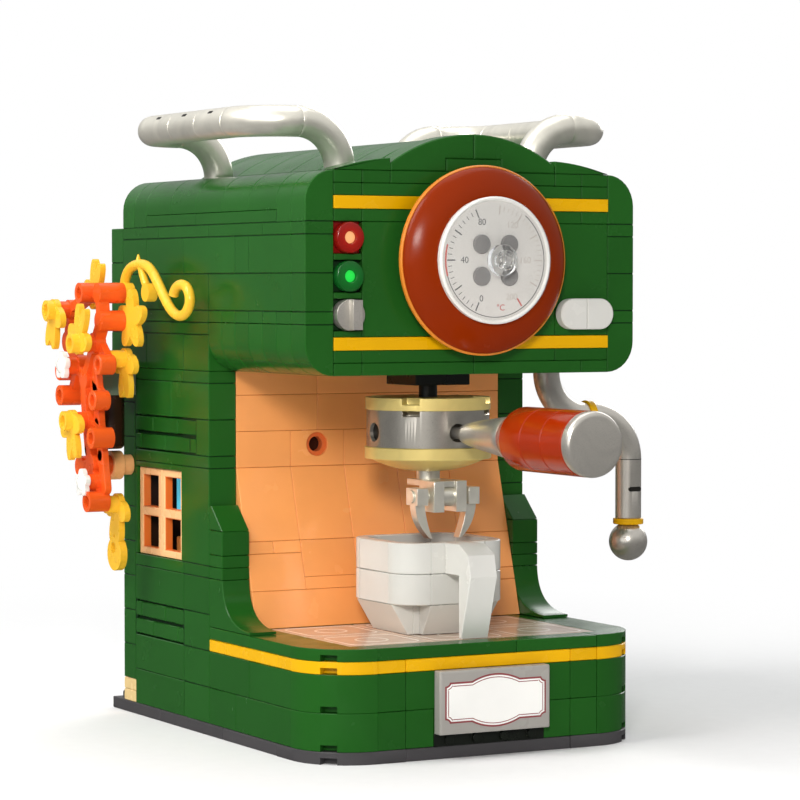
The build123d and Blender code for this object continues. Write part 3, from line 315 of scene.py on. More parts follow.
def brick(boxes, soft=0.17, gap=0.05):
    """Rings of plain bricks. Each box of x0, x1, y0, y1, z0, z1 is an eight-cornered plan carried up four
    levels; a hair is taken off all round, and the broken edge as well at the first and last level."""
    boxes = np.asarray(boxes, float)
    low = boxes[:, [0, 2, 4]] + gap
    high = boxes[:, [1, 3, 5]] - gap
    centre = (low + high) / 2
    half = (high - low) / 2
    side = np.array([[1, 1], [1, 1], [-1, 1], [-1, 1], [-1, -1], [-1, -1], [1, -1], [1, -1]])
    cut = np.array([[0, 1], [1, 0], [1, 0], [0, 1], [0, 1], [1, 0], [1, 0], [0, 1]])
    draw = np.array([soft, 0, 0, soft])
    reach = half[:, None, None, :2] - cut * soft - draw[None, :, None, None]
    plan = centre[:, None, None, :2] + side * reach
    rise = np.stack([low[:, 2], low[:, 2] + soft, high[:, 2] - soft, high[:, 2]], 1)
    rise = np.broadcast_to(rise[:, :, None, None], (*plan.shape[:3], 1))
    return np.concatenate([plan, rise], -1)


def along_y(x0, x1, *courses):
    """Boxes of bricks laid along Y between x0 and x1. Each course has its cuts, its foot and its top."""
    boxes = [[x0, x1, a, b, z0, z1] for cuts, z0, z1 in courses for a, b in zip(cuts, cuts[1:])]
    return np.array(boxes, float)


def along_x(y0, y1, *courses):
    """Boxes of bricks laid along X between y0 and y1, in the same way."""
    return along_y(y0, y1, *courses)[:, [2, 3, 0, 1, 4, 5]]


plate_boxes = np.concatenate([
    along_x(-64, -40, ([-24, 24], 0, PLATE)),
    along_x(-40, -8, ([-48, -16, 16, 48], 0, PLATE)),
    along_x(-8, 32, ([-48, -16, 16, 48], 0, PLATE)),
    along_x(32, 64, ([-48, 0, 48], 0, PLATE)),
])
skin("base_plates", brick(plate_boxes), BASE_GREY, "dark_grey")


def turned(profile, steps=48):
    """Rings of a profile of (radius, height) turned about the third axis."""
    profile = np.asarray(profile, float)
    turn = np.linspace(0, 2 * np.pi, steps, endpoint=False)
    wide = profile[:, 0, None]
    tall = np.broadcast_to(profile[:, 1, None], (len(profile), steps))
    return np.stack([wide * np.cos(turn), wide * np.sin(turn), tall], -1)


def studs(places, foot, radius=2.4, height=1.8, steps=20):
    """Round studs at places of (x, y), with a broken upper edge."""
    profile = [(radius, foot), (radius, foot + height - 0.25), (radius - 0.25, foot + height)]
    places = np.asarray(places, float)
    shift = np.concatenate([places, np.zeros((len(places), 1))], -1)
    return turned(profile, steps)[None] + shift[:, None, None, :]


ledge = np.stack([np.arange(12) * STUD_PITCH - 44, np.full(12, 60.0)], -1)
skin("base_studs", studs(ledge, PLATE), BASE_GREY, "dark_grey")

# Base courses: two courses of green bricks round the front, pressed onto the plate, with round corner
# bricks whose foot has a small moulding notch, and a gold plate band of the same plan on top.
GREEN = plastic("brick_green", (31, 87, 27), 0.22, 0.5, more={"IOR": 1.27})
GOLD = plastic("band_gold", (234, 176, 4), 0.25, 0.18)
WALL = (-48, -40)
FRONT = (-64, -56)


def opposite(boxes):
    """The same boxes on the other side of the middle."""
    return boxes[:, [1, 0, 2, 3, 4, 5]] * (-1, -1, 1, 1, 1, 1)


def both_sides(boxes):
    """Boxes and those opposite them."""
    return np.concatenate([boxes, opposite(boxes)])


def front_course(side_cuts, front_cuts, z0, z1):
    """Straight bricks of one course: along both sides and across the front."""
    sides = both_sides(along_y(*WALL, (side_cuts, z0, z1)))
    return np.concatenate([sides, along_x(*FRONT, (front_cuts, z0, z1))])


course_corners = [corner_pair(3.2, 12.8), corner_pair(12.8, 22.4)]
skin("course_corners", course_corners, GREEN, "green", "base_courses")
course_boxes = np.concatenate([
    both_sides(along_y(*WALL, ([-48, -16, 0], 3.2, 12.8))),
    both_sides(along_x(*FRONT, ([-32, -24, -16], 3.2, 12.8))),
    along_x(*FRONT, ([-16, 16], 6.4, 12.8)),
    along_x(-57.6, -56, ([-16, 16], 3.2, 6.4)),
    front_course([-48, -24, 0], [-32, -24, 8, 24, 32], 12.8, 22.4),
])
skin("course_bricks", brick(course_boxes), GREEN, "green")
skin("band_corners", corner_pair(22.4, 25.6), GOLD, "gold", "base_trim")
skin("band_plates", brick(front_course([-48, -40, 0], [-32, -24, 24, 32], 22.4, 25.6)), GOLD, "gold")

# Deck and drip tray: a green plate with round front corners that holds six polished beige tiles, each
# with a pale printed border and a ring, as a tray that the cup stands on.
deck_inner = [(-32.05, -57.05), (-36.05, -57.05), (-36.05, -48.05)]
skin("deck_corners", corner_pair(25.6, 28.8, deck_inner), GREEN, "green", "tray_deck")
deck_boxes = np.concatenate([
    both_sides(along_y(-48, -36, ([-48, -24, 0], 25.6, 28.8))),
    along_x(-64, -57, ([-32, 8, 32], 25.6, 28.8)),
    along_x(-57, -12, ([-36, 36], 25.6, 27.2)),
    along_x(-12, 0, ([-36, 0, 36], 25.6, 28.8)),
])
skin("deck_plates", brick(deck_boxes), GREEN, "green")
TRAY = plastic("tray_tile", (206, 180, 160), 0.2, 0.4, 0.25)
TRAY_LINE = plastic("tray_line", (238, 224, 208), 0.22, 0.4, 0.2)
TILE_TOP = 28.8
tile_row = ([-36, -12, 12, 36], 27.2, TILE_TOP)
tray_boxes = np.concatenate([along_x(-57.0, -34.5, tile_row), along_x(-34.5, -12.0, tile_row)])
skin("tray_tiles", brick(tray_boxes, 0.25), TRAY, "tray_beige", "drip_tray")


def drawn_in(outline, amounts):
    """Copies of a flat outline, each moved inwards along its own normals by one of the amounts."""
    outline = np.asarray(outline, float)
    ahead = np.roll(outline, -1, 0) - outline
    ahead /= np.linalg.norm(ahead, axis=1, keepdims=True)
    left = np.stack([-ahead[:, 1], ahead[:, 0]], -1)
    before = np.roll(left, 1, 0)
    mitre = (left + before) / np.maximum(1 + (left * before).sum(1, keepdims=True), 0.35)
    return outline[None] + mitre[None] * np.asarray(amounts, float)[:, None, None]


def frame_round(outline, width, low, high, soft):
    """Hoop rings of a flat frame: up the outline, across its upper face to the outline drawn in by the
    width, and down again, with broken edges."""
    plan = drawn_in(outline, [soft, 0, 0, soft, width - soft, width, width, width - soft])
    return lifted(plan, [low, low + soft, high - soft, high, high, high - soft, low + soft, low])


def circle(centre, radius, steps):
    """Points all round a circle, the first one not repeated."""
    return arc(centre, radius, 0, 360 - 360 / steps, steps)


def round_box(x0, x1, y0, y1, corner):
    """A rectangle with round corners, run to the left: a quarter circle about a point inside each corner."""
    corners = ((x1 - corner, y0 + corner), (x1 - corner, y1 - corner), (x0 + corner, y1 - corner),
               (x0 + corner, y0 + corner))
    starts = (-90, 0, 90, 180)
    return np.concatenate([arc(c, corner, start, start + 90, 7) for c, start in zip(corners, starts)])


def tray_print(outlines, width):
    """Printed lines of a width on the tray, each a flat frame just proud of its tile."""
    return [frame_round(outline, width, TILE_TOP - 0.1, TILE_TOP - 0.02, 0.01) for outline in outlines]


tiles = tray_boxes[:, :4]
borders = [round_box(x0 + 2, x1 - 2, y0 + 2, y1 - 2, 3.0) for x0, x1, y0, y1 in tiles]
rounds = [circle(((x0 + x1) / 2, (y0 + y1) / 2), 4.4, 30) for x0, x1, y0, y1 in tiles]
skin("tray_borders", tray_print(borders, 0.5), TRAY_LINE, "tray_beige", hoop=True)
skin("tray_rings", tray_print(rounds, 0.6), TRAY_LINE, "tray_beige", hoop=True)

# Sign: a grey tile on the front with a plain white cartouche printed on it in a thin dark red border, and
# the black side-stud bracket below that holds it, a row of small pegs.
SIGN_GREY = plastic("sign_grey", (168, 164, 158), 0.3, 0.35)
SIGN_WHITE = plastic("sign_white", (246, 245, 241), 0.35, 0.3)
SIGN_LINE = plastic("sign_line", (140, 66, 70), 0.4, 0.2)
BLACK = plastic("bracket_black", (22, 26, 20), 0.3, 0.3)
SIGN_FACE = 67.2
SIGN_MIDDLE = (0, 0, 14.4)


def soften(node, name, width, material, slot, body="housing", sharp=30.0):
    """Seats a copy of a node's mesh in the node's stead, with its doubles merged and its flat faces made
    whole, and a small bevel on every edge that turns by more than the sharp angle."""
    one_point = 0.002 * MM
    one_plane = math.radians(0.6)
    work = bmesh.new()
    work.from_mesh(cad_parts[node].data)
    bmesh.ops.remove_doubles(work, verts=work.verts, dist=one_point)
    bmesh.ops.dissolve_limit(work, angle_limit=one_plane, verts=work.verts, edges=work.edges)
    mesh = bpy.data.meshes.new(name)
    work.to_mesh(mesh)
    work.free()
    mesh.shade_smooth()
    mesh.set_sharp_from_angle(angle=math.radians(sharp))
    piece = bpy.data.objects.new(name, mesh)
    edge = piece.modifiers.new("broken_edge", "BEVEL")
    edge.width = width * MM
    edge.segments = 2
    edge.limit_method = "ANGLE"
    edge.angle_limit = math.radians(sharp)
    edge.use_clamp_overlap = True
    seat(piece, material, body, slot, node)


def upright(rings):
    """Turns rings drawn in plan to face the front: plan X stays, plan Y becomes Z, height runs forwards."""
    return np.asarray(rings)[..., [0, 2, 1]] * (1, -1, 1)


def slab(outline, low, high, soft=0.2, gap=0.05):
    """Rings of a flat outline carried up from low to high. It is drawn in by the gap all over, and by the
    broken edge as well at the first and last ring."""
    plan = drawn_in(outline, [gap + soft, gap, gap, gap + soft])
    return lifted(plan, [low + gap, low + gap + soft, high - gap - soft, high - gap])


def print_slab(outline, low, high):
    """Rings of a thin slab of print, with hardly any broken edge."""
    return slab(outline, low, high, 0.01, 0.0)


def cartouche():
    """A plaque outline: upright ends, a small scoop at each corner, and a long low arch above and below."""
    turn = np.radians(np.linspace(90, 0, 7))
    scoop = np.stack([14.65 - 1.35 * np.cos(turn), 5.15 - 0.95 * np.sin(turn)], -1)
    run = np.linspace(6.95, 0, 9)
    arch = np.stack([run, np.sqrt(15.9**2 - run**2) - 9.15], -1)
    quarter = np.concatenate([scoop, arch])
    back = quarter[::-1]
    return np.concatenate([quarter, back[1:] * (-1, 1), quarter * (-1, -1), back[1:] * (1, -1)])


soften("sign_plate", "sign_tile", 0.3, SIGN_GREY, "sign_grey")
for name, inset, lift, material in (
    ("cartouche_edge", 0.0, 0.03, SIGN_LINE),
    ("cartouche_field", 0.45, 0.05, SIGN_WHITE),
    ("cartouche_line", 0.85, 0.07, SIGN_LINE),
    ("cartouche_centre", 1.07, 0.09, SIGN_WHITE),
):
    outline = drawn_in(cartouche(), [inset])[0]
    rings = upright(print_slab(outline, SIGN_FACE - 0.1, SIGN_FACE + lift))
    skin(name, rings + SIGN_MIDDLE, material, "sign_grey")
soften("sign_bracket", "sign_bracket_piece", 0.15, BLACK, "black")

# Side and back walls: courses of green bricks a stud thick, stepped at the rear column, with two bands of
# masonry bricks. The left wall leaves room for two window frames and two tan plates in its rear corner.
# Webs inside close the joints; they and the backing of the masonry bands are painted dark green as the shade
# in the joints.
BRICK = 9.6
wall_boxes = along_y(
    *WALL,
    ([0, 16, 48], 3.2, 12.8),
    ([0, 16, 48], 12.8, 22.4),
    ([0, 16], 22.4, 32.0),
    ([0, 16, 48], 32.0, 41.6),
    ([0, 16, 48], 41.6, 44.8),
    ([0, 48], 70.4, 73.6),
    ([0, 8], 73.6, 83.2),
    ([0, 24, 48], 83.2, 92.8),
    ([0, 16, 48], 92.8, 96.0),
    *[([48, 56], z, z + BRICK) for z in np.arange(BRICK, 90, BRICK)],
)
jamb_boxes = along_y(*WALL, ([0, 17.6], 44.8, 70.4), ([46.4, 48], 44.8, 68.8), ([17.6, 48], 68.8, 70.4))
plain_boxes = along_y(
    *WALL,
    ([0, 16, 48], 44.8, 54.4),
    ([0, 16, 32, 48], 54.4, 64.0),
    ([0, 16, 48], 64.0, 70.4),
    ([48, 56], 3.2, 9.6),
)
left_boxes = np.concatenate([wall_boxes, jamb_boxes])
right_boxes = opposite(np.concatenate([wall_boxes, plain_boxes]))
skin("left_wall_bricks", brick(left_boxes), GREEN, "green", "left_wall")
skin("right_wall_bricks", brick(right_boxes), GREEN, "green", "right_wall")


def masonry(front, foot):
    """Small blocks of a masonry band: two rows in each two-stud brick, with one upright joint a row."""
    starts = np.arange(front, 48, 2 * STUD_PITCH)
    upper, lower = [np.unique(np.minimum([front, *(starts + joint), 48], 48)) for joint in (12, 4)]
    return along_y(-48, -42, (upper, foot + 5.1, foot + 9.3), (lower, foot + 0.3, foot + 4.5))


# Painted shade: dark green for the webs and backings inside the walls, which stand in for the shade in the
# joints between bricks.
JOINT_SHADE = plastic("joint_shade_green", (12, 40, 16), 0.5, 0.1)
masonry_boxes = np.concatenate([masonry(16, 22.4), masonry(8, 73.6)])
backing_boxes = along_y(-47.2, -40, ([16, 32, 48], 22.4, 32.0), ([8, 24, 40, 48], 73.6, 83.2))
skin("masonry_blocks", brick(both_sides(masonry_boxes), 0.22, 0.1), GREEN, "green")
skin("masonry_backing", brick(both_sides(backing_boxes), 0.1, 0.02), JOINT_SHADE, "green")
web_boxes = np.array([
    [-47.85, -40.6, 0.15, 17.0, 3.8, 95.4],
    [-47.85, -40.6, 47.0, 55.85, 9.8, 95.4],
    [-47.0, -40.6, 16.0, 48.0, 3.8, 44.2],
    [-47.0, -40.6, 16.0, 48.0, 70.8, 95.4],
    [-47.4, -40.6, -47.4, -0.6, 3.8, 25.0],
])
web_boxes = np.concatenate([
    both_sides(web_boxes),
    along_x(-57.4, -56.4, ([-31.4, 31.4], 3.8, 25.0)),
    along_x(48.6, 55.7, ([-40.2, 40.2], 3.8, 95.4)),
])
skin("brick_webs", brick(web_boxes, 0.1, 0.0), JOINT_SHADE, "green")


def bonded(foot, top):
    """Courses from a foot to a top, with the joints of every other course over the bricks below."""
    bond = ([-40, -32, -16, 0, 16, 32, 40], [-40, -24, -8, 8, 24, 40])
    levels = np.arange(foot, top - 1, BRICK)
    return [(bond[step % 2], z, min(z + BRICK, top)) for step, z in enumerate(levels)]


skin("back_wall_bricks", brick(along_x(48, 56, *bonded(3.2, 96.0))), GREEN, "green", "back_wall")
TAN = plastic("tan", (230, 200, 140), 0.25, 0.2)
tan_boxes = along_y(*WALL, ([48, 56], 3.2, 6.4), ([48, 56], 6.4, 9.6))
skin("tan_corner", brick(tan_boxes), TAN, "tan", "corner_plates")

# Window frames and the bricks that show behind them: two moulded peach frames clipped side by side into
# the left wall, each with two open panes whose reveals are painted orange as their shade, before a hollow
# with orange, brown and blue bricks in it, lined and screened in dark brown as painted shade.
PEACH = plastic("frame_peach", (252, 196, 138), 0.28, 0.3)
# Painted shade: the peach frames' pane reveals in a darker orange.
REVEAL_SHADE = plastic("reveal_shade_orange", (240, 122, 50), 0.35, 0.25)
# Painted shade: a dark brown lining and screen put in the hollow behind the panes, where there is only shade.
HOLLOW_SHADE = plastic("window_hollow_shade", (44, 24, 16), 0.5, 0.1)


def sideways(rings):
    """Turns rings drawn in plan to run along X: plan X becomes Y, plan Y becomes Z, height becomes X."""
    return np.asarray(rings)[..., [2, 0, 1]]


def window_hoop(y0, y1, z0, z1, width, x0, x1, soft=0.02):
    """Hoop rings of a rectangular frame that stands in the wall between x0 and x1."""
    return sideways(frame_round([(y0, z0), (y1, z0), (y1, z1), (y0, z1)], width, x0, x1, soft))


sashes = [window_hoop(y + 0.04, y + 14.36, 44.84, 68.76, 1.96, -47.25, -44.85, 0.2) for y in (17.6, 32.0)]
skin("window_sashes", sashes, PEACH, "peach", "window_frames", hoop=True)
sash_bars = along_y(-47.2, -44.9, ([19.2, 30.4], 55.65, 57.95), ([33.6, 44.8], 55.65, 57.95))
skin("window_bars", brick(sash_bars, 0.2, 0.0), PEACH, "peach")
panes = [(y, z) for y in (19.6, 34.0) for z in (46.8, 58.0)]
liners = [window_hoop(y, y + 10.4, z, z + 8.8, 0.12, -46.9, -44.9) for y, z in panes]
skin("window_liners", liners, REVEAL_SHADE, "peach", hoop=True)
hollow = window_hoop(17.65, 46.35, 44.85, 68.75, 0.12, -44.8, -40.1)
skin("window_hollow_shade", hollow, HOLLOW_SHADE, "dark_brown", hoop=True)
skin("window_screen", brick([[-39.8, -14.0, 47.2, 47.8, 38.0, 74.0]]), HOLLOW_SHADE, "dark_brown")
INNER_ORANGE = plastic("inner_orange", (250, 160, 84), 0.3, 0.3)
INNER_BROWN = plastic("inner_brown", (70, 36, 24), 0.4, 0.2)
# Painted glow: the blue brick gives off light of its own, standing in for light falling into the hollow.
blue_brick_glow = {"Emission Color": srgb((86, 200, 232)), "Emission Strength": 0.55}
INNER_BLUE = plastic("inner_blue", (110, 214, 244), 0.3, 0.3, more=blue_brick_glow)
pillar_course = 9.28
pillar_levels = np.arange(3.2, 45, pillar_course)
pillar = along_y(-39.2, -31.2, *[([28, 40], z, z + pillar_course) for z in pillar_levels])
skin("inner_orange_bricks", brick(pillar), INNER_ORANGE, "lining_orange", "inner_bricks")
skin("inner_brown_brick", brick([[-36.8, -33.6, 30.4, 37.6, 49.6, 56.8]]), INNER_BROWN, "socket_brown")
skin("inner_blue_brick", brick([[-39.2, -31.2, 28, 40, 56.8, 68.8]]), INNER_BLUE, "light_blue")

# Bay lining: orange tiles, upright under the head and leaning forwards below, pressed onto studs of the
# bricks behind. One brick in the upper part has a stepped round hole, its step painted a deeper orange and
# its bottom dark brown, as painted shade.
LINING = plastic("lining_orange", (255, 168, 96), 0.22, 0.4)
# Painted shade: the socket's step and bottom, darker than the lining, as the shade inside the hole.
LINING_SHADE = plastic("lining_step_shade", (226, 112, 56), 0.3, 0.3)
BROWN = plastic("socket_brown", (52, 18, 8), 0.4, 0.2)
lining_boxes = along_x(
    0, 4.8,
    ([-40, -16, 16, 40], 89.6, 96.0),
    ([-40, -16, 16, 40], 80.0, 89.6),
    ([-40, -24], 70.4, 80.0),
    ([-8, 8, 24, 40], 70.4, 80.0),
    ([-40, -24, -8, 8, 24, 40], 51.2, 70.4),
    ([-40, -32, -24], 48.0, 51.2),
    ([-40, -24], 38.4, 48.0),
    ([-24, -8, 24, 40], 41.6, 51.2),
    ([-24, 8, 40], 38.4, 41.6),
    ([-40, 0, 40], 28.8, 38.4),
)
lean_top = 70.4
lean_foot = 28.8
lean_reach = 12.0
lining_rings = brick(lining_boxes, 0.12, 0.04)
lining_rings[..., 1] -= lean_reach * np.clip((lean_top - lining_rings[..., 2]) / (lean_top - lean_foot), 0, 1)
skin("lining_tiles", lining_rings, LINING, "lining_orange", "niche_lining")


def bored_brick(x0, x1, z0, z1, centre, bore, front, back, soft=0.12):
    """Hoop rings of a brick with a round bore through it: the outline of the brick at the back and front,
    then the circle of the bore, each point on the ray from the bore's middle to its outline point."""
    run = np.linspace(0, 1, 12, endpoint=False)
    ends = np.array([(x0, z0), (x1, z0), (x1, z1), (x0, z1)], float)
    outline = np.concatenate([a + run[:, None] * (b - a) for a, b in zip(ends, np.roll(ends, -1, 0))])
    away = outline - centre
    ray = away / np.linalg.norm(away, axis=1, keepdims=True)
    edge = drawn_in(outline, [0.04, 0.04, 0.04 + soft])
    hole = centre + ray[None] * np.array([bore + soft, bore, bore])[:, None, None]
    rise = [back, front - soft, front, front, front - soft, back]
    return upright(lifted(np.concatenate([edge, hole]), rise))


socket_at = np.array([-16.0, 76.2])
socket_tile = bored_brick(-24, -8, 70.4, 80, socket_at, 3.2, -0.04, -4.76)
skin("socket_brick", socket_tile, LINING, "lining_orange", "wall_socket", hoop=True)
step_ring = frame_round(circle(socket_at, 3.3, 36), 1.3, -4.7, -1.0, 0.1)
skin("socket_step", upright(step_ring), LINING_SHADE, "lining_orange", hoop=True)
socket_end = upright(turned([(2.4, -4.7), (2.4, -3.3), (0.05, -3.3)], 24)) + (-16, 0, 76.2)
skin("socket_bottom", socket_end, BROWN, "socket_brown")


# Gussets: a curved foot, two plates, a block and a sloped cap stacked in front of each column, which
# spread the column onto the deck.
def bowed(start, through, end, steps):
    """Points on a parabola from a start to an end that passes through a middle point half way."""
    start, through, end = np.array([start, through, end], float)
    run = np.linspace(0, 1, steps)[:, None]
    pull = 2 * through - (start + end) / 2
    return (1 - run) ** 2 * start + 2 * run * (1 - run) * pull + run**2 * end


foot_curve = bowed((-24.0, 29.6), (-12.2, 32.8), (-8.0, 41.6), 13)
foot_outline = np.concatenate([[(0.0, 41.6), (0.0, 28.8), (-24.0, 28.8)], foot_curve])[::-1]
skin("gusset_feet_pair", both(sideways(slab(foot_outline, 40, 48))), GREEN, "green", "gusset_feet")
stack_boxes = along_y(40, 48, ([-8, 0], 41.6, 44.8), ([-8, 0], 44.8, 48.0), ([-8, 0], 48.0, 54.4))
skin("gusset_stacks", brick(both_sides(stack_boxes)), GREEN, "green", "gusset_heads")
slope_outline = [(0.0, 54.4), (0.0, 60.8), (-1.2, 60.8), (-8.0, 54.4)]
skin("gusset_caps", both(sideways(slab(slope_outline, 40, 48))), GREEN, "green")

# Head: two sides of green courses over the bay, rounded inwards along the lower edge, a stepped back and
# a floor that carries the group and the wand. Webs inside close the joints, painted dark green as their
# shade.
head_boxes = along_y(
    *WALL,
    (np.arange(-48, 1, STUD_PITCH), 108.8, 112.0),
    ([0, 24, 56], 108.8, 112.0),
    ([0, 16, 40, 56], 96.0, 105.6),
    ([0, 24, 48, 56], 105.6, 108.8),
    ([-48, 0, 32, 56], 112.0, 121.6),
    ([-48, -24, -16, 16, 40, 56], 121.6, 131.2),
    ([-48, -32, 0, 32, 56], 131.2, 134.4),
    ([-40, 8, 40], 134.4, 137.6),
    *[([56, 64], z, z + BRICK) for z in np.arange(96.0, 130, BRICK)],
)
skin("head_side_bricks", brick(both_sides(head_boxes)), GREEN, "green", "head_sides")
low_corner = np.concatenate([arc((40, 104), 8, -90, 0, 9), [(48, 108.8), (40, 108.8)]])
under = upright([slab(low_corner, y, y + STUD_PITCH) for y in np.arange(6) * STUD_PITCH])
skin("head_under_bricks", both(under), GREEN, "green")
head_webs = np.array([
    [-47.85, -40.6, -47.4, 55.85, 109.4, 137.0],
    [-47.85, -40.6, 0.6, 55.85, 96.6, 109.4],
    [-47.85, -40.6, 55.4, 63.85, 96.6, 134.0],
    [-47.85, -40.3, -55.85, -48.6, 106.0, 138.0],
    [-44.6, -40.6, -47.4, 0.6, 98.4, 109.4],
])
fascia_web = along_x(-52.2, -48.6, ([-39.4, 39.4], 96.6, 146.6))
head_webs = np.concatenate([both_sides(head_webs), fascia_web])
skin("head_webs", brick(head_webs, 0.1, 0.0), JOINT_SHADE, "green")
head_back = np.concatenate([
    along_x(48, 64, *bonded(96.0, 134.4)),
    along_x(48, 56, ([-40, -8, 24, 40], 134.4, 144.0)),
])
skin("head_back_bricks", brick(head_back), GREEN, "green", "head_back")
soften("head_floor", "head_floor_plate", 0.15, GREEN, "green")

# Fascia: the head's front, one stud thick, in the same courses with its four corners rounded, two gold
# strips let in across it, side-stud bricks that hold the lamps and the knob, and a boss for the dial,
# painted black as its shade.
FASCIA = (-56, -48)
FASCIA_DEEP = (-52.8, -48)
DIAL_Z = 124.8


def top_corner(foot):
    """The outline of a quarter-round brick: a quarter circle up to the roof over a straight foot."""
    return np.concatenate([arc((40, 139.2), 8, 0, 90, 9), [(40, foot), (48, foot)]])


def on_dial(rings):
    """Carries rings drawn about the third axis to the middle of the dial, facing the front."""
    return upright(rings) + (0, 0, DIAL_Z)


fascia_corners = upright([slab(low_corner, 48, 56), slab(top_corner(134.4), 48, 56)])
skin("fascia_corner_bricks", both(fascia_corners), GREEN, "green", "fascia")
edge_levels = (108.8, 112, 121.6, 131.2, 134.4)
edge_boxes = along_x(*FASCIA, *[([40, 48], a, b) for a, b in zip(edge_levels, edge_levels[1:])])
fascia_boxes = np.concatenate([
    both_sides(edge_boxes),
    along_x(*FASCIA, ([-40, -32, 0, 32, 40], 96.0, 99.2), ([-40, -32, 0, 24, 40], 99.2, 102.4)),
    along_x(*FASCIA_DEEP, ([-40, 0, 40], 102.4, 105.6)),
    along_x(*FASCIA, ([-32, 24, 40], 105.6, 134.4), ([-40, -32, 0, 32, 40], 134.4, 137.6)),
    along_x(*FASCIA_DEEP, ([-40, 0, 40], 137.6, 140.8)),
    along_x(*FASCIA, ([-40, -32, -8, 8, 32, 40], 140.8, 144.0), ([-40, -32, -24, 24, 32, 40], 144.0, 147.2)),
    along_x(*FASCIA, *[([-40, -32], z, z + 1.6) for z in (105.6, 115.2, 124.8)]),
])
skin("fascia_bricks", brick(fascia_boxes), GREEN, "green")
# Painted shade: the green dial boss in black, as the shade behind the dish.
skin("dial_boss", on_dial(turned([(20, 56), (20, 58.6), (19.8, 59.15)])), BLACK, "green")
soften("gold_strips", "fascia_strips", 0.2, GOLD, "gold")


# Crest and roof: the raised arch of the fascia with a shoulder each side, the lower roof crown behind it in
# a row of arched bricks, flat plates beside it, and quarter-round bricks along both long edges.
def arch_line(middle, radius, end, steps):
    """The right half of an arch about a middle height, from its end three studs out up to its top."""
    start = math.degrees(math.atan2(end - middle, 3 * STUD_PITCH))
    return arc((0, middle), radius, start, 90, steps)


crest_foot = [(0, 150.4), (8, 150.4), (8, 147.2), (24, 147.2)]
crest = np.concatenate([crest_foot, arch_line(115.1, 41.7, 149.2, 17)])
skin("crest_halves", both(upright(slab(crest, 48, 56, 0.3))), GREEN, "green", "fascia_arch")
skin("crest_tile", brick([[-8, 8, -56, -48, 147.2, 150.4]]), GREEN, "green")
shoulder = np.concatenate([[(24, 147.2), (40, 147.2)], bowed((40, 147.3), (32, 149.4), (24, 150.4), 9)])
skin("crest_shoulders", both(upright(slab(shoulder, 48, 56, 0.15))), GREEN, "green")
crown_half = np.concatenate([[(0, 147.2), (24, 147.2)], arch_line(114.51, 41.69, 148.6, 13)])
crown_cuts = [-45, -32, -16, 0, 16, 32, 48, 56]
crown = upright([slab(crown_half, -b, -a) for a, b in zip(crown_cuts, crown_cuts[1:])])
skin("roof_crown", both(crown), GREEN, "green", "roof_arch")
roof_row = ([-40, -24, 0, 24, 40], 144.0, 147.2)
roof_boxes = np.concatenate([along_x(a, b, roof_row) for a, b in ((-48, -16), (-16, 24), (24, 56))])
skin("roof_plates", brick(roof_boxes), GREEN, "green", "roof_deck")
roof_edges = []
edge_cuts = [-48, -40, -24, -8, 8, 24, 40, 48, 56]
for y0, y1 in zip(edge_cuts, edge_cuts[1:]):
    foot = 137.6 if y1 - y0 > STUD_PITCH else 134.4
    roof_edges.append(upright(slab(top_corner(foot), -y1, -y0)))
skin("roof_edge_bricks", both(roof_edges), GREEN, "green", "roof_edges")


# Lamps: clear coloured round tiles on side studs in small square cells, a red one over a green one. They
# give no light: each has a hollow middle with a painted glow, and the red one's cell carries the same
# painted glow.
def glowing_lens_paint(name, body, axis, near, far, glow_strength_painted):
    """Coloured lens plastic with a painted glow: an emission bright near its own axis and deeper towards the
    rim.
    """
    material = plastic(name, body, 0.15, 0.3, more={"Emission Strength": glow_strength_painted})
    tree = material.node_tree
    where = add(tree, "TexCoord").outputs["Object"]
    spread = add(tree, "VectorMath", {0: where, 1: Vector(axis) * MM}, operation="DISTANCE")
    ramp = add(tree, "ValToRGB", {"Fac": remap(tree, spread.outputs["Value"], 1.0 * MM, 4.0 * MM)})
    for end, colour in zip(ramp.color_ramp.elements, (near, far)):
        end.color = srgb(colour)
    feed(tree, tree.nodes["Principled BSDF"], {"Emission Color": ramp})
    return material


lens_profile = [
    (3.0, 54.45), (3.8, 54.5), (3.85, 57.2), (3.7, 57.45), (3.45, 57.58),
    (1.75, 57.58), (1.6, 57.45), (1.55, 56.65), (0.05, 56.65),
]
core_profile = [(1.5, 56.6), (1.5, 56.75), (1.35, 56.85), (0.05, 56.9)]
# Painted shade: the recessed cells in a dark green, much darker than the bricks.
CELL_SHADE = plastic("cell_shade", (16, 44, 18), 0.4, 0.2)
LAMP_X = -36


def lamp_cell(name, z, material):
    """The square cell, a stud wide, that a lamp or the knob stands in, in the given material: painted glow or
    painted shade.
    """
    half = STUD_PITCH / 2
    skin(name, brick([[LAMP_X - half, LAMP_X + half, -54.4, -48, z - half, z + half]]), material, "green")


for node, z, body, near, far, core, slot in (
    ("red_lens", 130.4, (118, 14, 10), (200, 44, 26), (90, 6, 4), (255, 196, 132), "lamp_red"),
    ("green_lens", 120.8, (14, 78, 26), (24, 130, 44), (4, 40, 12), (40, 235, 80), "lamp_green"),
):
    axis = (LAMP_X, -57.6, z)
    glass = glowing_lens_paint(f"{slot}_glass", body, axis, near, far, 0.35)
    # Painted highlight: the lens's hollow middle glows brightest, standing in for light caught in it.
    light = glowing_lens_paint(f"{slot}_core", body, axis, core, near, 0.9)
    lens_rings = upright(turned(lens_profile, 32)) + (LAMP_X, 0, z)
    skin(f"{node}_piece", lens_rings, glass, slot, node, sharp=40)
    skin(f"{node}_core", upright(turned(core_profile, 24)) + (LAMP_X, 0, z), light, slot)
    # The red cell is painted with the red lens's glow, the green cell with painted shade.
    lamp_cell(f"{node}_cell", z, glass if node == "red_lens" else CELL_SHADE)


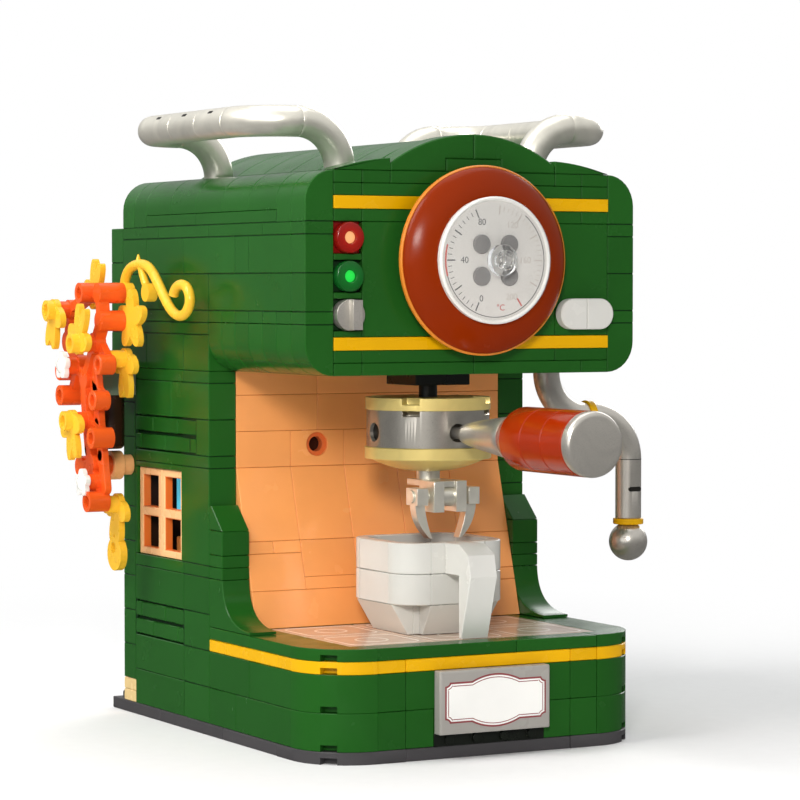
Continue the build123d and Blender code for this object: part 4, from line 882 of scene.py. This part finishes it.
# Selector knob: a round knob on a side stud in the third cell, half of it cut down to leave a straight grip.
# It is moulded in silver plastic, grey plastic filled with fine metal flake, as are the rails, the group, the
# handle and the wand.
def flake(tree, where):
    """Metal-flake plastic: flow streaks in the colour, and a sparkle in the roughness and the height."""
    flow = add(tree, "TexNoise", {"Vector": where, "Scale": 70.0, "Detail": 5.0, "Distortion": 1.2})
    speck = add(tree, "TexVoronoi", {"Vector": where, "Scale": 6000.0})
    return remap(tree, flow, 0.3, 0.7, 0.86, 1.08), remap(tree, speck, 0.0, 1.0, -0.015, 0.025), speck


FLAKE = finish_group("flake_finish", flake)


def flake_plastic(name, colour, polish, metal):
    """Plastic filled with metal flake."""
    return plastic(name, colour, polish, 0.4, more={"Metallic": metal}, peel=0.001, finish=FLAKE)


SILVER = flake_plastic("silver_flake", (206, 201, 192), 0.28, 0.75)
# The knob's cell is painted dark green as its shade.
lamp_cell("knob_cell", 111.2, CELL_SHADE)
soften("selector_knob", "selector_grip", 0.35, SILVER, "silver", "selector")

# Fascia plate: two white tiles with half-round ends, butted together at the right of the dial. They are
# plain moulded plastic, pressed onto side studs.
WHITE = plastic("white", (216, 215, 209), 0.22, 0.35)
left_half = np.concatenate([[(32, 107.2), (32, 115.2)], arc((28, 111.2), 4, 90, 270, 17)])
right_half = left_half[::-1] * (-1, 1) + (64, 0)
tile_pair = upright([slab(half, 56, 56 + PLATE, 0.3) for half in (left_half, right_half)])
skin("name_tile_pair", tile_pair, WHITE, "white", "name_tiles")

# Dial: a deep red-brown dish with a thin rim on the boss, painted bright orange as a highlight, a white
# printed face with four grey studs round its middle and a rim painted a brighter white as a highlight, and a
# clear dome with a small clear knob.
DISH_BROWN = plastic("dish_brown", (134, 40, 0), 0.2, 0.14)
# Painted highlights: the dish rim in bright orange, the face rim in a brighter white.
DISH_RIM_HIGHLIGHT = plastic("dish_rim_highlight", (214, 128, 40), 0.25, 0.4, 0.2)
DIAL_WHITE = plastic("dial_white", (214, 210, 203), 0.3, 0.35)
FACE_RIM_HIGHLIGHT = plastic("face_rim_highlight", (236, 234, 228), 0.12, 0.5, 0.5)
STUD_GREY = plastic("stud_grey", (94, 89, 84), 0.35, 0.3)
dish_profile = [
    (15.0, 59.25), (22.9, 59.25), (23.3, 59.6), (23.4, 60.6), (23.5, 61.3), (23.4, 61.6), (22.9, 62.3),
    (22.0, 63.0), (20.8, 63.75), (19.4, 64.45), (18.0, 65.0), (16.8, 65.3), (16.3, 65.38), (15.0, 65.38),
]
skin("dial_dish_piece", on_dial(turned(dish_profile, 96)), DISH_BROWN, "red_brown", "dial_dish")
dish_rim = frame_round(circle((0, 0), 24, 96), 0.8, 59.9, 61.3, 0.3)
skin("dial_rim", on_dial(dish_rim), DISH_RIM_HIGHLIGHT, "red_brown", hoop=True)
face_profile = [(15.0, 65.3), (15.9, 65.4), (15.95, 66.4), (15.8, 66.58), (0.5, 66.58)]
skin("dial_face_piece", on_dial(turned(face_profile, 64)), DIAL_WHITE, "white", "dial_face")
face_rim = frame_round(circle((0, 0), 15.98, 64), 1.0, 66.3, 67.15, 0.35)
skin("dial_face_rim", on_dial(face_rim), FACE_RIM_HIGHLIGHT, "white", hoop=True)
face_studs = studs([(-4, -4), (4, -4), (-4, 4), (4, 4)], 66.58, 2.42, 0.8, 28)
skin("dial_studs", on_dial(face_studs), STUD_GREY, "dark_grey")

PRINT_GREY = plastic("print_grey", (62, 60, 58), 0.45, 0.2)
PRINT_PALE = plastic("print_pale", (196, 186, 176), 0.45, 0.2)
PRINT_RED = plastic("print_red", (196, 60, 40), 0.45, 0.2)
print_low = 66.55
print_high = 66.63


def ticks(angles, inner, outer, width):
    """Outlines of straight scale marks: a narrow box on each ray of the dial, from inner to outer radius."""
    turn = np.radians(angles)
    ray = np.stack([np.cos(turn), np.sin(turn)], -1)
    tangent = np.stack([-ray[:, 1], ray[:, 0]], -1) * width / 2
    ends = [ray * inner - tangent, ray * outer - tangent, ray * outer + tangent, ray * inner + tangent]
    return np.stack(ends, 1)


def ring_band(start, end, inner, outer, steps):
    """Outline of a narrow ring band between two angles."""
    return np.concatenate([arc((0, 0), outer, start, end, steps), arc((0, 0), inner, end, start, steps)])


def scale(long):
    """Marks of a scale: a long mark at each angle and four short ones between neighbours."""
    short = np.concatenate([np.linspace(a, b, 6)[1:-1] for a, b in zip(long, long[1:])])
    return np.concatenate([ticks(long, 11.5, 13.8, 0.34), ticks(short, 12.5, 13.6, 0.18)])


scale_left = scale(np.linspace(246, 114, 5))
scale_right = scale(np.concatenate([[84.0], np.linspace(56, -28, 4)]))
ring_lines = [ring_band(start, start + 108, 14.15, 14.35, 40) for start in (196, -56)]
for name, outlines, material, slot in (
    ("dial_marks", scale_left, PRINT_GREY, "dark_grey"),
    ("dial_pale_marks", scale_right, PRINT_PALE, "dark_grey"),
    ("dial_ring_line", ring_lines, PRINT_GREY, "dark_grey"),
    ("dial_red_line", [ring_band(164, 196, 14.0, 14.45, 16)], PRINT_RED, "red_brown"),
    ("dial_red_mark", ticks([-56.0], 11.5, 13.8, 0.4), PRINT_RED, "red_brown"),
):
    prints = [print_slab(outline, print_low, print_high) for outline in outlines]
    skin(name, on_dial(prints), material, slot)


def figure(name, words, height, x, z, material, slot):
    """Printed figures: a text curve with a little thickness made into a mesh, then stood up on the face."""
    curve = bpy.data.curves.new(name, "FONT")
    curve.body = words
    curve.size = height
    curve.align_x = "CENTER"
    curve.align_y = "CENTER"
    curve.extrude = (print_high - print_low) / 2
    draft = bpy.data.objects.new(name, curve)
    mesh = bpy.data.meshes.new_from_object(draft)
    bpy.data.objects.remove(draft)
    flat = np.zeros(len(mesh.vertices) * 3)
    mesh.vertices.foreach_get("co", flat)
    stood = on_dial(flat.reshape(-1, 3)) + (x, -(print_low + print_high) / 2, z)
    mesh.vertices.foreach_set("co", (stood * MM).ravel())
    mesh.update()
    seat(bpy.data.objects.new(name, mesh), material, "housing", slot)


for words, x, z, material in (
    ("0", -4.0, -9.6, PRINT_GREY),
    ("40", -8.8, 0, PRINT_GREY),
    ("80", -3.8, 9.5, PRINT_GREY),
    ("120", 5.0, 8.8, PRINT_PALE),
    ("160", 8.7, 0, PRINT_PALE),
    ("200", 4.8, -9.2, PRINT_PALE),
):
    figure(f"dial_figure_{words}", words, 2.3, x, z, material, "dark_grey")
figure("dial_unit", "°C", 2.2, 1.6, -11.9, PRINT_RED, "red_brown")


def clear_plastic(name, cover, through, bend):
    """Clear plastic: a glossy skin that lets most of what is behind it through, faintly scuffed."""
    glass = {"Alpha": cover, "Transmission Weight": through, "IOR": bend}
    return plastic(name, (249.3, 250.5, 250.5), 0.04, 0.5, more=glass)


DOME_CLEAR = clear_plastic("dome_clear", 0.1, 0.0, 1.5)
HUB_CLEAR = clear_plastic("hub_clear", 1.0, 1.0, 1.4)
soften("dial_glass", "dial_dome", 0.1, DOME_CLEAR, "clear", sharp=40)
soften("dial_knob", "dial_hub", 0.15, HUB_CLEAR, "clear", "dial_pointer_knob", 40)

# Rails: on each side two posts rise from the roof, bend outwards and then along the side into three short
# straight tubes with a slot in each; all are silver bar bricks pushed together end to end.
# The same silver flake, painted lighter on the rails, spout and claws as their highlights.
LIT_SILVER = flake_plastic("silver_painted_highlight", (236, 232, 219), 0.3, 0.7)
rail_r = 4.0
rail_bend_r = 12.0


def bar_rings(middle, normal, binormal, wide):
    """Circles of given radii about the points of a middle line, each spanned by a normal and a binormal."""
    around = np.linspace(0, 2 * np.pi, 32, endpoint=False)[None, :, None]
    spread = np.cos(around) * normal + np.sin(around) * binormal
    return middle[:, None] + np.asarray(wide)[:, None, None] * spread


def bar_bend(centre, start, towards):
    """Rings of a quarter bend of rail: the middle line is a quarter circle from centre plus start to centre
    plus towards; the bar's ends are broken."""
    centre, start, towards = np.array([centre, start, towards], float)
    square = np.pi / 2
    turn = np.concatenate([[0, 0.02], np.linspace(0.1, square - 0.1, 12), [square - 0.02, square]])[:, None]
    middle = centre + rail_bend_r * (np.cos(turn) * start + np.sin(turn) * towards)
    tangent = -np.sin(turn) * start + np.cos(turn) * towards
    normal = np.cross(start, towards)
    wide = np.full(len(turn), rail_r)
    wide[[0, -1]] -= 0.12
    return bar_rings(middle, normal, np.cross(tangent, normal)[:, None], wide)


def bar(start, towards, length):
    """Rings of a straight length of rail with broken ends, from a start point along a direction."""
    towards = np.asarray(towards, float)
    normal = np.cross(towards, (0.36, 0.48, 0.8))
    normal /= np.linalg.norm(normal)
    run = np.array([0, 0.12, length - 0.12, length])[:, None]
    wide = [rail_r - 0.25, rail_r, rail_r, rail_r - 0.25]
    return bar_rings(np.asarray(start, float) + run * towards, normal, np.cross(towards, normal), wide)


rail_bends = []
for end in (-1, 1):
    rail_bends.append(bar_bend((40, end * 36, 148), (-1, 0, 0), (0, 0, 1)))
    rail_bends.append(bar_bend((40, end * 24, 160), (0, end, 0), (1, 0, 0)))
skin("rail_bend_pieces", both(rail_bends), LIT_SILVER, "silver", "rail_elbows")
rail_feet = [bar((28, y, 147.2), (0, 0, 1), 1.0) for y in (-36, 36)]
skin("rail_foot_pieces", both(rail_feet), LIT_SILVER, "silver")
rail_runs = [bar((52, y, 160), (0, 1, 0), 16) for y in (-24, -8, 8)]
skin("rail_run_pieces", both(rail_runs), LIT_SILVER, "silver", "rail_tubes")


def set_on(rings, origin, side, over):
    """Carries rings to a place: plan X runs to the side, plan Y runs over, and height square to both."""
    side, over = np.array([side, over], float)
    out = np.cross(side, over)
    return np.asarray(origin, float) + rings[..., :1] * side + rings[..., 1:2] * over + rings[..., 2:] * out


# Painted shade: dark grey where the slots and ports are deep in shade; also the wand's dark seam line.
SHADE_AND_SEAM_DARK = plastic("slot_shade_and_seam_dark", (30, 28, 24), 0.5, 0.2)
slot_outline = np.concatenate([arc((0.9, 0), 0.45, -90, 90, 9), arc((-0.9, 0), 0.45, 90, 270, 9)])
rail_slot = slab(slot_outline, 3.4, 4.02, 0.02, 0.0)
slant = math.sqrt(0.5)
rail_slots = [set_on(rail_slot, (52, y, 160), (0, 1, 0), (-slant, 0, slant)) for y in (-16, 0, 16)]
skin("rail_slots", both(rail_slots), SHADE_AND_SEAM_DARK, "black")

# Group: the brewing head of the machine. A black plate under the head floor, a stem, a gold disc, a silver
# drum with four ports, and a gold dish below, all on one turning stem.
# The same silver flake, painted darker on the drum as the shade in its reflections.
SHADED_SILVER = flake_plastic("drum_silver_painted_shade", (176, 171, 162), 0.28, 0.75)
PALE_GOLD = flake_plastic("gold_flake", (228, 204, 126), 0.32, 0.3)
HANDLE_Z = 80.7
soften("turntable_plate", "turntable", 0.2, BLACK, "black")
soften("group_axle", "group_stem", 0.15, BLACK, "black", "group")
soften("group_top_disc", "group_disc", 0.25, PALE_GOLD, "gold", "group")
soften("group_drum", "group_drum_piece", 0.25, SHADED_SILVER, "silver", "group")
soften("group_lower_dish", "group_dish", 0.3, PALE_GOLD, "gold", "group")
# The ports' ends are dark discs, painted shade deep in the ports.
port_end = turned([(2.42, 10.9), (2.42, 14.9), (0.05, 14.9)], 24)
port_sides = ((0, 1, 0), (0, -1, 0), (-1, 0, 0))
port_ends = [set_on(port_end, (0, -32, HANDLE_Z), side, (0, 0, 1)) for side in port_sides]
skin("drum_port_ends", port_ends, SHADE_AND_SEAM_DARK, "black", body="group")

# Spout and claws: a silver block with a cross bar, pushed up into the dish, and two horn-shaped claws that
# are clipped to the bar and tilt on it.
soften("spout_block", "spout_bridge", 0.2, LIT_SILVER, "silver", "group")
for side in ("left", "right"):
    soften(f"claw_{side}", f"claw_{side}_piece", 0.2, LIT_SILVER, "silver", f"{side}_claw")

# Filter handle: a silver neck pushed into the drum's front port, three red-brown round bricks threaded on
# its bar, the first of them a cone, and a silver cap.
RED_BROWN = plastic("red_brown", (154, 41, 3), 0.16, 0.35)
handle_at = (0, 0, HANDLE_Z)
neck_profile = [
    (1.58, 39.1), (1.58, 50.6), (1.9, 51.4), (2.5, 52.2), (2.9, 54.0),
    (3.6, 59.0), (4.4, 66.0), (5.1, 72.5), (5.38, 75.6), (5.2, 75.98),
]
neck = upright(turned(neck_profile, 48)) + handle_at
skin("handle_neck_piece", neck, SILVER, "silver", "handle_neck", body="group", sharp=40)
cone_brick = [(5.3, 76.05), (5.4, 76.1), (7.85, 81.8), (7.98, 82.1), (7.98, 91.3), (7.7, 91.57)]
round_brick = np.array([
    (7.7, 91.63), (7.98, 91.9), (7.98, 92.2), (7.98, 100.5), (7.98, 100.9), (7.7, 101.17),
])
barrel = [turned(profile, 64) for profile in (cone_brick, round_brick, round_brick + (0, BRICK))]
barrel = upright(barrel) + handle_at
skin("handle_barrel_pieces", barrel, RED_BROWN, "red_brown", "handle_barrel", body="group")
cap_profile = [
    (7.6, 110.85), (7.95, 111.1), (7.98, 112.6), (7.87, 113.2),
    (7.57, 113.65), (7.1, 113.92), (6.6, 113.98), (0.05, 113.98),
]
cap = upright(turned(cap_profile, 64)) + handle_at
skin("handle_cap_piece", cap, SILVER, "silver", "handle_cap", body="group")

# Steam wand: two silver bends and a tube, pushed together on a post that turns in the head floor, with gold
# rings at the joints and a ball for a tip.
soften("wand_pipe", "wand_pipe_pieces", 0.2, SILVER, "silver", "wand")
soften("wand_rings", "wand_ring_pair", 0.25, GOLD, "gold", "wand")
soften("wand_tip", "wand_ball", 0.1, SILVER, "silver", "wand")
wand_slot = slab(slot_outline * 1.4, 2.7, 3.52, 0.02, 0.0)
wand_mark = set_on(wand_slot, (62, -32, 63.7), (1, 0, 0), (0, 0, 1))
skin("wand_slot", wand_mark, SHADE_AND_SEAM_DARK, "black", body="wand")
wand_seam = frame_round(circle((62, -32), 3.53, 36), 0.4, 71.6, 71.8, 0.02)
skin("wand_seam", wand_seam, SHADE_AND_SEAM_DARK, "black", body="wand", hoop=True)

# Cup: white bricks, a foot of four slopes under two square rings with round corners, filled with brown
# coffee, and a hooked handle towards the front. It stands loose on the tray.
COFFEE = plastic("coffee", (96, 52, 28), 0.15, 0.5, 0.3)
cup_levels = ((36.8, 44.8), (44.8, 52.8))
cup_corner = np.concatenate([arc((8, 8), 8, 0, 90, 13), arc((8, 8), 4.8, 90, 0, 13)])
quarter_turn = np.array([[0, 1], [-1, 0]])
cup_corners = [cup_corner @ np.linalg.matrix_power(quarter_turn, step) + (0, -32) for step in range(4)]
cup_rings = [slab(plan, a, b, 0.2, 0.06) for a, b in cup_levels for plan in cup_corners]
skin("cup_corner_bricks", cup_rings, WHITE, "white", "cup_rings", body="cup")
cup_plan = ((-16, -12.8, -40, -24), (12.8, 16, -40, -24), (-8, 8, -48, -44.8), (-8, 8, -19.2, -16))
cup_sides = [[*plan, a, b] for a, b in cup_levels for plan in cup_plan]
skin("cup_side_bricks", brick(cup_sides, 0.2, 0.06), WHITE, "white", body="cup")
slope_side = [(9.6, 28.85), (11.2, 28.85), (16, 36.8), (9.6, 36.8)]
slope_front = np.array([(-43.2, 28.85), (-41.6, 28.85), (-41.6, 36.8), (-48, 36.8)])
slope_back = (slope_front * (-1, 1) + (-64, 0))[::-1]
cup_slopes = np.concatenate([
    both(upright(slab(slope_side, 22.4, 41.6, 0.15, 0.03))),
    sideways([slab(slope, -8, 8, 0.15, 0.03) for slope in (slope_front, slope_back)]),
])
skin("cup_slopes", cup_slopes, WHITE, "white", "cup_foot", body="cup")
cup_core = brick([[-9.6, 9.6, -41.6, -22.4, 28.85, 36.8]], 0.15, 0.04)
skin("cup_core", cup_core, WHITE, "white", body="cup")
hook = [
    (-48, 52.8), (-55, 52.8), (-59.9, 50.3), (-61.2, 44.8),
    (-56.4, 28.85), (-55.2, 28.85), (-55.1, 44.8), (-48, 44.8),
]
skin("cup_hook", sideways(slab(hook, -4, 4, 0.2, 0.03)), WHITE, "white", "cup_handle", body="cup")
soften("coffee", "coffee_fill", 0.1, COFFEE, "coffee_brown", "cup")

# Climbing plant: orange stalks with side shoots and hollow spurs, yellow leaves with a tendril, and white
# blossoms, clipped to each other and held on the left wall by a grey-green bracket, with a dark lantern
# under it, and by a peach anchor.
plant = {}
for node, name, colour, slot in (
    ("vine_bracket", "bracket", (120, 135, 115), "grey_green"),
    ("lantern", "lantern", (52, 30, 20), "dark_brown"),
    ("vine_anchor", "anchor", (250, 185, 120), "peach"),
    ("vine_stems", "stalks", (236, 92, 30), "vine_orange"),
    ("vine_leaves", "leaves", (252, 196, 52), "leaf_yellow"),
    ("vine_blossoms", "blossoms", (246, 244, 238), "white"),
):
    plant[name] = plastic(f"plant_{name}", colour, 0.25, 0.35)
    soften(node, f"plant_{name}_piece", 0.2, plant[name], slot)


def link_plate(start, end, radius):
    """The outline of a flat link from one place of (y, z) to another, with round ends."""
    turn = math.degrees(math.atan2(end[1] - start[1], end[0] - start[0]))
    far_end = arc(end, radius, turn - 90, turn + 90, 9)
    return np.concatenate([far_end, arc(start, radius, turn + 90, turn + 270, 9)])


shoots = []
for line in (
    [(44.6, 99.4), (42.6, 90.2), (41.6, 81.0), (39.4, 72.4), (37.4, 63.6)],
    [(52.0, 92.6), (50.2, 82.4), (48.4, 73.6), (44.6, 65.6)],
    [(41.4, 102.9), (34.4, 97.2)],
    [(47.8, 93.0), (38.2, 87.4)],
    [(53.0, 96.6), (61.6, 95.0)],
):
    for start, end in zip(line, line[1:]):
        shoots.append(slab(link_plate(start, end, 1.7), -62.2, -60.2, 0.2, 0.0))
skin("plant_shoots", sideways(shoots), plant["stalks"], "vine_orange")


def outwards(profile, places):
    """Copies of a turned profile that point out of the left wall, one at each place."""
    rings = sideways(turned(profile, 24))[:, ::-1] * (-1, 1, 1)
    return rings + np.array(places)[:, None, None]


spur_profile = [
    (2.6, 60.4), (2.75, 60.6), (2.75, 64.8), (2.6, 65.0),
    (1.75, 65.0), (1.6, 64.85), (1.6, 62.6), (0.1, 62.6),
]
spurs = outwards(spur_profile, [(0, 34.4, 97.2), (0, 38.2, 87.4), (0, 61.6, 95.0)])
skin("plant_spurs", spurs, plant["stalks"], "vine_orange")
BLOSSOM_WHITE = plastic("blossom_white", (246, 244, 238), 0.12, 0.5, 0.3)
bud_profile = [(2.4, 0.0), (2.4, 0.5), (2.2, 1.0), (1.7, 1.45), (1.0, 1.75), (0.1, 1.85)]
buds = outwards(bud_profile, [(-67.0, 53.0, 96.6), (-66.0, 41.4, 65.0)])
skin("plant_buds", buds, BLOSSOM_WHITE, "white", sharp=60)
